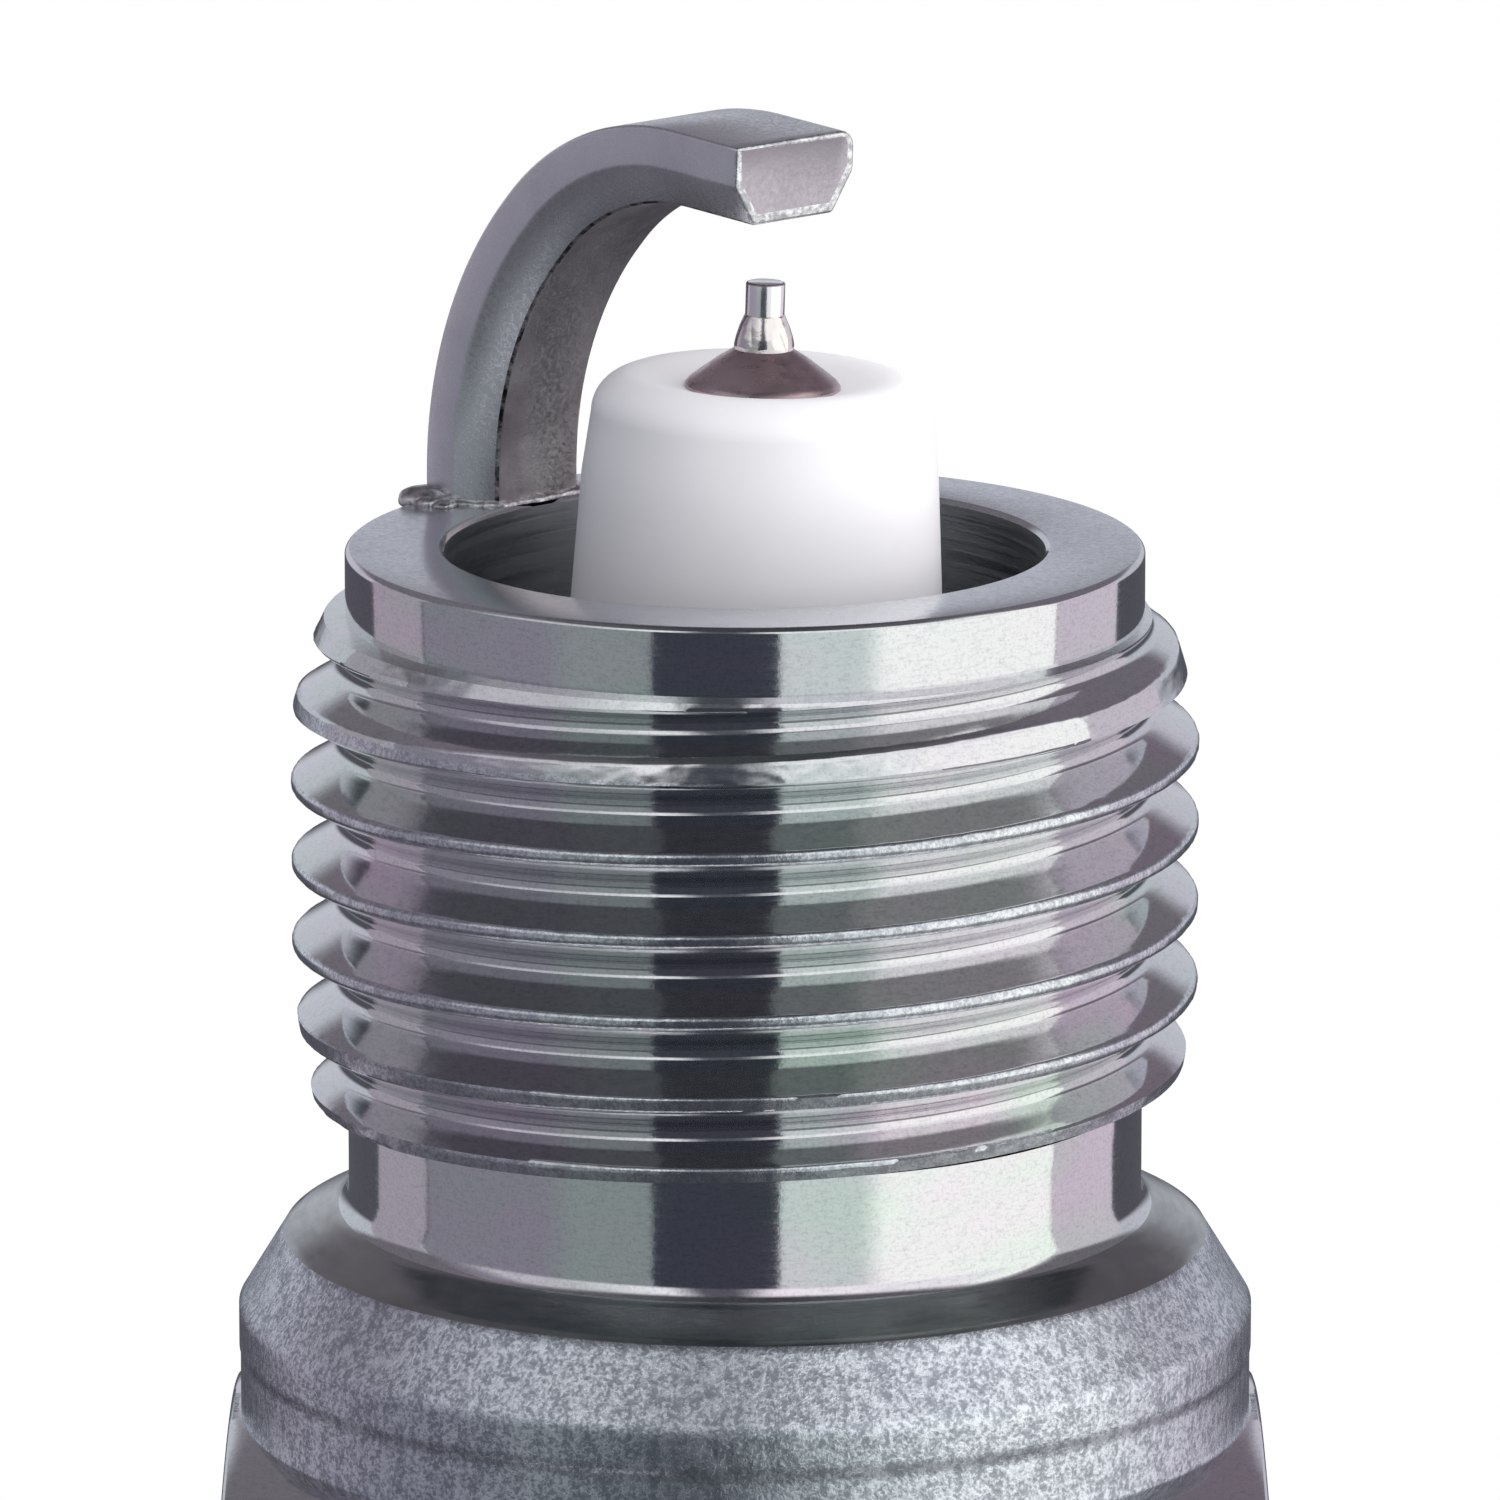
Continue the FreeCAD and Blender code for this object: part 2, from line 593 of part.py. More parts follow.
def strap_section(body, name, outer):
    """The bar's section on top of the weld, chamfered on the side that faces the tip."""
    inner = "strap_outer - strap_thickness"
    sketch = outline(new_sketch(body, name, "XY_Plane"), [
        (outer, "strap_width / 2"),
        (inner + " + strap_chamfer_depth", "strap_width / 2"),
        (inner, "strap_width / 2 - strap_chamfer_width"),
        (inner, "-strap_width / 2 + strap_chamfer_width"),
        (inner + " + strap_chamfer_depth", "-strap_width / 2"),
        (outer, "-strap_width / 2"),
    ])
    sketch.setExpression("AttachmentOffset.Base.z", bound("reach + weld_layer"))
    doc.recompute()
    return sketch


def turn_about_axis(body):
    body.Placement = FreeCAD.Placement(V(0, 0, 0), FreeCAD.Rotation(V(0, 0, 1), size["strap_angle"]))
    body.setExpression("Placement.Rotation.Angle", "Sizes.strap_angle * 1 deg")


def strap_path(sketch):
    """Upright leg, bend, straight, bend, straight tip, each joined smoothly to the next."""
    start = V(size["strap_outer"], size["reach"] + size["weld_layer"], 0)
    heading = 0.0
    at = start
    pieces = []
    plan = (("line", "strap_leg", None), ("bend", "strap_lower_radius", "strap_lower_angle"),
            ("line", "strap_middle", None), ("bend", "strap_upper_radius", "strap_upper_angle"),
            ("line", "strap_tip", None))
    spin = FreeCAD.Rotation
    for kind, length, angle in plan:
        ahead = spin(V(0, 0, 1), heading).multVec(V(0, 1, 0))
        if kind == "line":
            end = at + ahead * size[length]
            pieces.append(Part.LineSegment(at, end))
        else:
            centre = at + spin(V(0, 0, 1), 90).multVec(ahead) * size[length]
            turn = size[angle] - heading
            middle = centre + spin(V(0, 0, 1), turn / 2).multVec(at - centre)
            end = centre + spin(V(0, 0, 1), turn).multVec(at - centre)
            pieces.append(Part.Arc(at, middle, end))
            heading = size[angle]
        at = end
    for piece in pieces:
        sketch.addGeometry(piece, False)
    for i in range(len(pieces) - 1):
        sketch.addConstraint(Sketcher.Constraint("Tangent", i, 2, i + 1, 1))
    fixed = [("start_x", Sketcher.Constraint("DistanceX", -1, 1, 0, 1, start.x), "strap_outer"),
             ("start_z", Sketcher.Constraint("DistanceY", -1, 1, 0, 1, start.y),
              "reach + weld_layer"),
             ("leg", Sketcher.Constraint("Distance", 0, size["strap_leg"]), "strap_leg"),
             ("lower", Sketcher.Constraint("Radius", 1, size["strap_lower_radius"]),
              "strap_lower_radius"),
             ("middle", Sketcher.Constraint("Distance", 2, size["strap_middle"]), "strap_middle"),
             ("upper", Sketcher.Constraint("Radius", 3, size["strap_upper_radius"]),
              "strap_upper_radius"),
             ("tip", Sketcher.Constraint("Distance", 4, size["strap_tip"]), "strap_tip")]
    sketch.addConstraint(Sketcher.Constraint("Vertical", 0))
    for label, limit, formula in fixed:
        number = sketch.addConstraint(limit)
        sketch.renameConstraint(number, label)
        sketch.setExpression("Constraints." + label, bound(formula))
    for line, formula in ((2, "strap_lower_angle"), (4, "strap_upper_angle")):
        bend = FreeCAD.Units.Quantity("%.6f deg" % size[formula])
        number = sketch.addConstraint(Sketcher.Constraint("Angle", 0, 1, line, 1, bend))
        sketch.renameConstraint(number, formula)
        sketch.setExpression("Constraints." + formula, bound(formula) + " * 1 deg")
    doc.recompute()


def build_strap():
    bar = new_body("ground_electrode")
    path = new_sketch(bar, "strap_path")
    strap_path(path)
    sweep = bar.newObject("PartDesign::AdditivePipe", "strap_sweep")
    sweep.Profile = strap_section(bar, "strap_outline", "strap_outer")
    sweep.Spine = path
    sweep.Mode = "Frenet"
    bar.Tip = sweep
    doc.recompute()
    turn_about_axis(bar)
    weld = new_body("ground_electrode_weld")
    flash = new_sketch(weld, "weld_outline", "XY_Plane")
    flash.setExpression("AttachmentOffset.Base.z", bound("reach"))
    side = value_of("strap_width / 2 + weld_margin")
    outer = value_of("collar_radius - edge_chamfer - weld_edge")
    inner = value_of("mouth_radius + weld_inset")
    centre, up = V(0, 0, 0), V(0, 0, 1)
    across = [(r ** 2 - side ** 2) ** 0.5 for r in (outer, inner)]
    corners = [V(across[0], -side, 0), V(across[0], side, 0),
               V(across[1], side, 0), V(across[1], -side, 0)]
    flash.addGeometry(Part.Arc(corners[0], V(outer, 0, 0), corners[1]), False)
    flash.addGeometry(Part.LineSegment(corners[1], corners[2]), False)
    flash.addGeometry(Part.Arc(corners[3], V(inner, 0, 0), corners[2]), False)
    flash.addGeometry(Part.LineSegment(corners[3], corners[0]), False)
    for a, a_end, b, b_end in ((0, 2, 1, 1), (1, 2, 2, 2), (2, 1, 3, 1), (3, 2, 0, 1)):
        flash.addConstraint(Sketcher.Constraint("Coincident", a, a_end, b, b_end))
    for arc in (0, 2):
        flash.addConstraint(Sketcher.Constraint("Coincident", arc, 3, -1, 1))
    for line in (1, 3):
        flash.addConstraint(Sketcher.Constraint("Horizontal", line))
    fixed = (("outer", Sketcher.Constraint("Radius", 0, outer),
              "collar_radius - edge_chamfer - weld_edge"),
             ("inner", Sketcher.Constraint("Radius", 2, inner), "mouth_radius + weld_inset"),
             ("right", Sketcher.Constraint("DistanceY", -1, 1, 1, 1, side),
              "strap_width / 2 + weld_margin"),
             ("left", Sketcher.Constraint("DistanceY", -1, 1, 3, 1, -side),
              "-strap_width / 2 - weld_margin"))
    for label, limit, formula in fixed:
        number = flash.addConstraint(limit)
        flash.renameConstraint(number, label)
        flash.setExpression("Constraints." + label, bound(formula))
    doc.recompute()
    pad = weld.newObject("PartDesign::Pad", "weld_pad")
    pad.Profile = flash
    pad.setExpression("Length", bound("weld_height"))
    weld.Tip = pad
    doc.recompute()
    socket = weld.newObject("PartDesign::Pocket", "bar_socket")
    socket.Profile = strap_section(weld, "bar_outline", "strap_outer + 0.3")
    socket.Reversed = True
    socket.setExpression("Length", bound("weld_height"))
    weld.Tip = socket
    doc.recompute()
    turn_about_axis(weld)


build_shell()
build_insulator()
build_electrode()
build_conductor()
build_nut()
build_packings()
build_strap()
doc.recompute()
doc.removeObject(probe.Name)

for item in doc.Objects:
    if "Invalid" in item.State or "Error" in item.State:
        raise RuntimeError("%s: %s" % (item.Name, item.State))
os.makedirs("parts", exist_ok=True)
for body in [item for item in doc.Objects if item.TypeId == "PartDesign::Body"]:
    if body.Shape.isNull() or not body.Shape.isValid():
        raise RuntimeError(body.Label + " has no valid shape")
    body.Shape.exportStep("parts/%s.step" % body.Label)
    print("%-24s %9.4f mm3  solids %d" % (body.Label, body.Shape.Volume, len(body.Shape.Solids)))
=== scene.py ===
"""Looks of a spark plug with a 14 mm thread, a conical seat and a fine-wire tip.

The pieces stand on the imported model: the axis is Z, Z = 0 is the gauge plane of the conical seat and
+Z points at the firing end. Sizes in the classes are millimetres; meshes are written in metres.
"""

import logging
import math
from collections.abc import Iterable, Sequence
from dataclasses import dataclass
from enum import Enum, IntEnum

import bmesh
import bpy
from mathutils import Matrix, Vector, noise

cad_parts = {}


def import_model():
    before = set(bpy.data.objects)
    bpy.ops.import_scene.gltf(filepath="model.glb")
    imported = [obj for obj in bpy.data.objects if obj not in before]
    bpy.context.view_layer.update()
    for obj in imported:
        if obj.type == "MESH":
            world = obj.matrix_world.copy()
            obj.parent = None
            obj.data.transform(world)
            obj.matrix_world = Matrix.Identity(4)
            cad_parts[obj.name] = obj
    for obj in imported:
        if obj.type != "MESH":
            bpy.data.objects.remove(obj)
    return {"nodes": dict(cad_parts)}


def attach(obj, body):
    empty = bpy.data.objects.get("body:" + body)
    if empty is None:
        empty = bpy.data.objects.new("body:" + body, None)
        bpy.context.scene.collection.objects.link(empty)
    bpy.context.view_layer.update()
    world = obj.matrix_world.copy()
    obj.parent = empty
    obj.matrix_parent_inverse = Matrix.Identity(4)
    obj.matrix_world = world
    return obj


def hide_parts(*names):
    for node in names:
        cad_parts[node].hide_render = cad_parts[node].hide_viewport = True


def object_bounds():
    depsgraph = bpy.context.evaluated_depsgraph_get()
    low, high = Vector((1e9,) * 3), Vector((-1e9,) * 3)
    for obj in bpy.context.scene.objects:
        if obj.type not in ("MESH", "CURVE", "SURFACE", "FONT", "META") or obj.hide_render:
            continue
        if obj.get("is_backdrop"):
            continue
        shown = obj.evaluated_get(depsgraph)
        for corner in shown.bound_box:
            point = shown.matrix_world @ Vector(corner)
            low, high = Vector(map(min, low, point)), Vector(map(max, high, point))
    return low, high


LOG = logging.getLogger("spark_plug")
MM = 0.001
TURN = 2 * math.pi
Z_AXIS = Vector((0, 0, 1))
Point = tuple[float, float]
Colour = tuple[float, float, float]


class Body(Enum):
    """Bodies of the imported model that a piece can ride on."""

    PLUG = "plug"
    CAP = "terminal_cap"


class Slot(Enum):
    """Material slots of the visible pieces."""

    PLATED_STEEL = "plated_steel"
    ALUMINA = "alumina"
    ELECTRODE_ALLOY = "electrode_alloy"
    LASER_WELD = "laser_weld"
    IRIDIUM = "iridium"
    NICKEL_ALLOY = "nickel_alloy"
    WELD_METAL = "weld_metal"
    TERMINAL_STEEL = "terminal_steel"


# ---------------------------------------------------------------- node trees


class Nodes:
    """A short way to write a material's or the world's node tree."""

    def __init__(self, tree: bpy.types.NodeTree) -> None:
        """Start from an empty tree.

        Args:
            tree: the tree to fill.
        """
        self.tree = tree
        self.tree.nodes.clear()

    def add(self, kind: str, **settings: object) -> bpy.types.Node:
        """Add a node and set its properties.

        Args:
            kind: Blender's name of the node type, without its ShaderNode prefix.
            settings: properties of the node.

        Returns:
            The new node.
        """
        node = self.tree.nodes.new("ShaderNode" + kind)
        for name, value in settings.items():
            setattr(node, name, value)
        return node

    def feed(self, socket: bpy.types.NodeSocket, value: object) -> None:
        """Link or set one input.

        Args:
            socket: the input.
            value: another node's output, a number, or a colour.
        """
        if isinstance(value, bpy.types.NodeSocket):
            self.tree.links.new(value, socket)
        elif isinstance(value, (tuple, list)) and len(value) == 3 and len(socket.default_value) == 4:
            socket.default_value = (*value, 1.0)
        else:
            socket.default_value = value

    def math(self, operation: str, *values: object, clamp: bool = False) -> bpy.types.NodeSocket:
        """Add a Math node.

        Args:
            operation: Blender's name of the operation.
            values: up to three numbers or outputs.
            clamp: hold the result between 0 and 1.

        Returns:
            The node's output.
        """
        node = self.add("Math", operation=operation, use_clamp=clamp)
        for socket, value in zip(node.inputs, values):
            self.feed(socket, value)
        return node.outputs[0]

    def vector(self, operation: str, *values: object) -> bpy.types.NodeSocket:
        """Add a Vector Math node.

        Args:
            operation: Blender's name of the operation.
            values: vectors or outputs.

        Returns:
            The output that the operation fills.
        """
        node = self.add("VectorMath", operation=operation)
        for socket, value in zip(node.inputs, values):
            self.feed(socket, value)
        return node.outputs["Value" if operation in ("LENGTH", "DOT_PRODUCT") else "Vector"]

    def between(self, value: object, low: float, high: float, start: float = 0.0,
                end: float = 1.0, smooth: bool = True) -> bpy.types.NodeSocket:
        """Map a value from one range to another, held at both ends.

        Args:
            value: the output to map.
            low: where the result is start.
            high: where the result is end.
            start: result at or under low.
            end: result at or over high.
            smooth: ease in and out instead of a straight ramp.

        Returns:
            The mapped value.
        """
        kind = "SMOOTHSTEP" if smooth else "LINEAR"
        node = self.add("MapRange", interpolation_type=kind)
        for name, number in (("From Min", low), ("From Max", high), ("To Min", start),
                             ("To Max", end)):
            node.inputs[name].default_value = number
        self.feed(node.inputs["Value"], value)
        return node.outputs["Result"]

    def mix(self, share: object, first: object, second: object,
            blend: str = "MIX") -> bpy.types.NodeSocket:
        """Mix two colours.

        Args:
            share: how much of the second colour shows.
            first: a colour or an output.
            second: a colour or an output.
            blend: how the two are mixed.

        Returns:
            The mixed colour.
        """
        node = self.add("Mix", data_type="RGBA", blend_type=blend)
        self.feed(node.inputs[0], share)
        self.feed(node.inputs[6], first)
        self.feed(node.inputs[7], second)
        return node.outputs[2]

    def noise(self, where: object, scale: float, detail: float = 3.0, rough: float = 0.55,
              stretch: Sequence[float] = (1, 1, 1)) -> bpy.types.NodeSocket:
        """A noise value between about 0.3 and 0.7.

        Args:
            where: coordinates in metres.
            scale: features per metre.
            detail: octaves.
            rough: weight of the small octaves.
            stretch: scale along X, Y and Z.

        Returns:
            The noise value.
        """
        place = self.vector("MULTIPLY", where, tuple(stretch))
        node = self.add("TexNoise")
        self.feed(node.inputs["Vector"], place)
        node.inputs["Scale"].default_value = scale
        node.inputs["Detail"].default_value = detail
        node.inputs["Roughness"].default_value = rough
        return node.outputs[0]

    def object_place(self) -> bpy.types.NodeSocket:
        """The surface point in the object's own coordinates, in metres."""
        return self.add("TexCoord").outputs["Object"]

    def xyz(self, where: object) -> bpy.types.NodeOutputs:
        """Take a vector apart.

        Args:
            where: the vector's output.

        Returns:
            The outputs for X, Y and Z.
        """
        node = self.add("SeparateXYZ")
        self.feed(node.inputs[0], where)
        return node.outputs

    def join(self, x: object, y: object, z: object) -> bpy.types.NodeSocket:
        """Make a vector from three parts.

        Args:
            x: a number or an output.
            y: a number or an output.
            z: a number or an output.

        Returns:
            The vector's output.
        """
        node = self.add("CombineXYZ")
        for socket, value in zip(node.inputs, (x, y, z)):
            self.feed(socket, value)
        return node.outputs[0]

    def bump(self, height: object, strength: float, distance: float,
             under: object | None = None) -> bpy.types.NodeSocket:
        """A bumped normal.

        Args:
            height: the height output.
            strength: share of the effect.
            distance: metres per unit of height.
            under: a normal to start from.

        Returns:
            The normal.
        """
        node = self.add("Bump")
        node.inputs["Strength"].default_value = strength
        node.inputs["Distance"].default_value = distance
        self.feed(node.inputs["Height"], height)
        if under is not None:
            self.feed(node.inputs["Normal"], under)
        return node.outputs[0]


class Finish:
    """Base of the finishes: makes one material whose nodes a subclass draws."""

    name = "finish"

    def make(self) -> bpy.types.Material:
        """Make the finish's material, or find the one made before.

        Returns:
            The material.
        """
        found = bpy.data.materials.get(self.name)
        if found:
            return found
        material = bpy.data.materials.new(self.name)
        material.use_nodes = True
        nodes = Nodes(material.node_tree)
        shader = nodes.add("BsdfPrincipled")
        self.draw(nodes, shader)
        out = nodes.add("OutputMaterial")
        nodes.feed(out.inputs["Surface"], shader.outputs[0])
        return material

    def draw(self, nodes: Nodes, shader: bpy.types.Node) -> None:
        """Fill the shader's inputs, which each finish does in its own way."""
        raise NotImplementedError


def set_shader(shader: bpy.types.Node, **values: object) -> None:
    """Set numbers and colours on the shader's own sockets.

    Args:
        shader: a Principled shader node.
        values: socket names with underscores for spaces.
    """
    for name, value in values.items():
        socket = shader.inputs[name.replace("_", " ")]
        if isinstance(value, (tuple, list)) and len(value) == 3:
            value = (*value, 1.0)
        socket.default_value = value


@dataclass(frozen=True)
class TurnedSteel(Finish):
    """Clear-plated turned steel with faint colour tints and fine rings round the axis."""

    name: str = "turned_plated_steel"
    base: Colour = (0.70, 0.71, 0.73)
    tint_pink: Colour = (0.76, 0.68, 0.75)
    tint_green: Colour = (0.655, 0.73, 0.68)
    roughness: float = 0.075
    rings_per_mm: float = 16.0
    ring_depth: float = 0.00028
    grain_depth: float = 0.0004
    speck: Colour = (0.28, 0.28, 0.33)
    scratch: Colour = (0.34, 0.34, 0.38)

    def draw(self, nodes: Nodes, shader: bpy.types.Node) -> None:
        """Draw the tinted plating, its specks and the tool's rings.

        Args:
            nodes: the material's tree.
            shader: its Principled shader node.
        """
        place = nodes.object_place()
        x, y, z = nodes.xyz(place)
        angle = nodes.math("ARCTAN2", y, x)
        round_and_up = nodes.join(nodes.math("MULTIPLY", angle, 0.004), 0.0, z)
        bands = nodes.noise(round_and_up, scale=420.0, detail=2.0, rough=0.5,
                            stretch=(1.0, 1.0, 1.6))
        tint = nodes.mix(nodes.between(bands, 0.38, 0.62), self.tint_green, self.tint_pink)
        slow = nodes.noise(place, scale=150.0, detail=2.0, rough=0.5)
        colour = nodes.mix(nodes.between(slow, 0.38, 0.62, 0.15, 0.75), self.base, tint)
        specks = nodes.noise(place, scale=17000.0, detail=4.0, rough=0.75)
        colour = nodes.mix(nodes.between(specks, 0.45, 0.72, 0.0, 0.34), colour, self.speck)
        along = nodes.join(nodes.math("MULTIPLY", angle, 0.0012), 0.0, z)
        lines = nodes.noise(along, scale=21000.0, detail=2.0, rough=0.7)
        colour = nodes.mix(nodes.between(lines, 0.50, 0.68, 0.0, 0.22), colour, self.scratch)
        nodes.feed(shader.inputs["Base Color"], colour)
        along = nodes.join(nodes.math("MULTIPLY", angle, 0.0003), 0.0, z)
        rings = nodes.noise(along, scale=self.rings_per_mm / MM, detail=3.0, rough=0.7)
        nodes.feed(shader.inputs["Roughness"],
                   nodes.between(rings, 0.3, 0.7, self.roughness * 0.7, self.roughness * 1.5))
        normal = nodes.bump(rings, 1.0, self.ring_depth * MM)
        grain = nodes.noise(place, scale=15000.0, detail=2.0, rough=0.6)
        nodes.feed(shader.inputs["Normal"], nodes.bump(grain, 1.0, self.grain_depth * MM, normal))
        set_shader(shader, Metallic=1.0)


@dataclass(frozen=True)
class PittedSteel(Finish):
    """Plated steel with a broken skin: bright and dark pits, and faint streaks along Z."""

    name: str = "pitted_steel"
    bright: Colour = (0.80, 0.84, 0.90)
    dark: Colour = (0.36, 0.39, 0.44)
    roughness: float = 0.27
    grain_per_mm: float = 13.0
    depth: float = 0.014
    streaks: float = 0.35

    def draw(self, nodes: Nodes, shader: bpy.types.Node) -> None:
        """Draw coarse and fine pits and the streaks.

        Args:
            nodes: the material's tree.
            shader: its Principled shader node.
        """
        place = nodes.object_place()
        grains = self.grain_per_mm / MM
        fine = nodes.noise(place, scale=grains, detail=4.0, rough=0.7)
        coarse = nodes.noise(place, scale=0.32 * grains, detail=3.0, rough=0.6)
        streak = nodes.noise(place, scale=0.42 * grains, detail=3.0, rough=0.6,
                             stretch=(1.0, 1.0, 0.22))
        height = nodes.math("ADD", nodes.math("MULTIPLY", fine, 0.9),
                            nodes.math("MULTIPLY", coarse, 0.4))
        height = nodes.math("ADD", height, nodes.math("MULTIPLY", streak, self.streaks))
        middle = 0.5 * (1.3 + self.streaks)
        shade = nodes.between(height, middle - 0.12, middle + 0.12)
        nodes.feed(shader.inputs["Base Color"], nodes.mix(shade, self.dark, self.bright))
        nodes.feed(shader.inputs["Roughness"],
                   nodes.between(fine, 0.3, 0.7, self.roughness * 1.35, self.roughness * 0.7))
        nodes.feed(shader.inputs["Normal"], nodes.bump(height, 1.0, self.depth * MM))
        set_shader(shader, Metallic=1.0)


@dataclass(frozen=True)
class PlainMetal(Finish):
    """A metal with soft colour variation and a fine grain."""

    name: str = "plain_metal"
    base: Colour = (0.6, 0.6, 0.6)
    other: Colour = (0.5, 0.5, 0.5)
    roughness: float = 0.3
    grain_per_mm: float = 8.0
    grain_depth: float = 0.001
    metallic: float = 1.0
    stretch: tuple[float, float, float] = (1.0, 1.0, 1.0)

    def draw(self, nodes: Nodes, shader: bpy.types.Node) -> None:
        """Draw the patches and the grain.

        Args:
            nodes: the material's tree.
            shader: its Principled shader node.
        """
        place = nodes.object_place()
        patches = nodes.noise(place, scale=500.0, detail=4.0, rough=0.6)
        nodes.feed(shader.inputs["Base Color"],
                   nodes.mix(nodes.between(patches, 0.35, 0.65), self.base, self.other))
        grain = nodes.noise(place, scale=self.grain_per_mm / MM, detail=3.0, rough=0.65,
                            stretch=self.stretch)
        nodes.feed(shader.inputs["Roughness"],
                   nodes.between(grain, 0.3, 0.7, self.roughness * 0.8, self.roughness * 1.25))
        nodes.feed(shader.inputs["Normal"], nodes.bump(grain, 1.0, self.grain_depth * MM))
        set_shader(shader, Metallic=self.metallic)


@dataclass(frozen=True)
class Alumina(Finish):
    """Fine-grained white ceramic, bare or glazed."""

    name: str = "bare_alumina"
    base: Colour = (0.86, 0.85, 0.87)
    roughness: float = 0.45
    coat: float = 0.0
    grain_depth: float = 0.0005

    def draw(self, nodes: Nodes, shader: bpy.types.Node) -> None:
        """Draw the ceramic's faint mottling, grain and glaze.

        Args:
            nodes: the material's tree.
            shader: its Principled shader node.
        """
        place = nodes.object_place()
        mottle = nodes.noise(place, scale=350.0, detail=3.0, rough=0.5)
        darker = tuple(0.96 * part for part in self.base)
        nodes.feed(shader.inputs["Base Color"],
                   nodes.mix(nodes.between(mottle, 0.35, 0.65), self.base, darker))
        grain = nodes.noise(place, scale=14000.0, detail=2.0, rough=0.5)
        nodes.feed(shader.inputs["Normal"], nodes.bump(grain, 1.0, self.grain_depth * MM))
        set_shader(shader, Roughness=self.roughness, Metallic=0.0, Coat_Weight=self.coat,
                   Coat_Roughness=0.05, Subsurface_Weight=0.0)


# ---------------------------------------------------------------- mesh helpers


def spin_outline(points: Sequence[Point], steps: int = 256) -> bmesh.types.BMesh:
    """Turn an open or closed outline of (radius, height) a full turn about Z.

    Args:
        points: the outline in millimetres, listed so that the metal is on its left.
        steps: columns round the axis.

    Returns:
        The turned mesh, in millimetres.
    """
    bm = bmesh.new()
    verts = [bm.verts.new((r, 0, z)) for r, z in points]
    edges = [bm.edges.new(pair) for pair in zip(verts, verts[1:])]
    bmesh.ops.spin(bm, geom=verts + edges, cent=(0, 0, 0), axis=Z_AXIS, angle=TURN, steps=steps,
                   use_merge=True)
    bmesh.ops.remove_doubles(bm, verts=bm.verts, dist=1e-5)
    bmesh.ops.recalc_face_normals(bm, faces=bm.faces)
    return bm


def divided(points: Sequence[Point], step: float) -> list[Point]:
    """Add points along an outline so that no stretch is longer than a step.

    Args:
        points: the outline's corners.
        step: the longest stretch wanted.

    Returns:
        The corners with the points between them.
    """
    out = [points[0]]
    for start, end in zip(points, points[1:]):
        count = max(1, math.ceil(math.dist(start, end) / step))
        for i in range(1, count + 1):
            share = i / count
            out.append((start[0] + (end[0] - start[0]) * share,
                        start[1] + (end[1] - start[1]) * share))
    return out


def radius_of(co: Vector) -> float:
    """Distance of a point from the Z axis."""
    return math.hypot(co.x, co.y)


def set_radius(co: Vector, radius: float) -> None:
    """Move a point along its own radius to a new distance from the Z axis.

    Args:
        co: the point, changed in place.
        radius: its new distance from the axis.
    """
    now = radius_of(co)
    if now > 1e-9:
        co.x *= radius / now
        co.y *= radius / now


def soften_rings(bm: bmesh.types.BMesh, rings: Iterable[tuple[float, float, float]],
                 segments: int = 3) -> None:
    """Bevel the circular edges at the given radii and heights.

    Args:
        bm: a turned mesh in millimetres.
        rings: (radius, height, bevel width) of each edge ring.
        segments: faces across each bevel.
    """
    for r, z, width in rings:
        near = {v for v in bm.verts if max(abs(v.co.z - z), abs(radius_of(v.co) - r)) < 2e-4}
        edges = [e for e in bm.edges if e.verts[0] in near and e.verts[1] in near]
        bmesh.ops.bevel(bm, geom=edges, offset=width, offset_type="OFFSET", segments=segments,
                        profile=0.5, affect="EDGES", material=-1, clamp_overlap=True)


@dataclass
class Piece:
    """One visible piece: a mesh in place, dressed and riding on a body."""

    name: str
    bm: bmesh.types.BMesh
    finishes: Sequence[Finish]
    slot: Slot
    replaces: Sequence[str]
    body: Body = Body.PLUG
    sharp: float = 35.0
    smooth_sides: int = 8

    def build(self) -> bpy.types.Object:
        """Write the mesh in metres, hang it on its body and hide the imported nodes it replaces.

        Returns:
            The finished object.
        """
        bmesh.ops.transform(self.bm, matrix=Matrix.Scale(MM, 4), verts=self.bm.verts)
        mesh = bpy.data.meshes.new(self.name)
        self.bm.to_mesh(mesh)
        self.bm.free()
        for finish in self.finishes:
            mesh.materials.append(finish.make())
        smooth = [len(p.vertices) <= self.smooth_sides for p in mesh.polygons]
        mesh.polygons.foreach_set("use_smooth", smooth)
        mesh.set_sharp_from_angle(angle=math.radians(self.sharp))
        thing = bpy.data.objects.new(self.name, mesh)
        bpy.context.scene.collection.objects.link(thing)
        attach(thing, self.body.value)
        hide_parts(*self.replaces)
        LOG.info("%s: %d faces", self.name, len(mesh.polygons))
        return thing


# ---------------------------------------------------------------- sub-assemblies


class ThreadZone(IntEnum):
    """Finishes of the thread, in the order of its materials."""

    TURNED = 0
    CREST = 1


class CollarZone(IntEnum):
    """Finishes of the collar, in the order of its materials."""

    TURNED = 0
    BORE = 1
    FACE = 2


class BodyZone(IntEnum):
    """Finishes of the shell's body, in the order of its materials."""

    TURNED = 0
    ROUGH = 1
    SHOULDER = 2


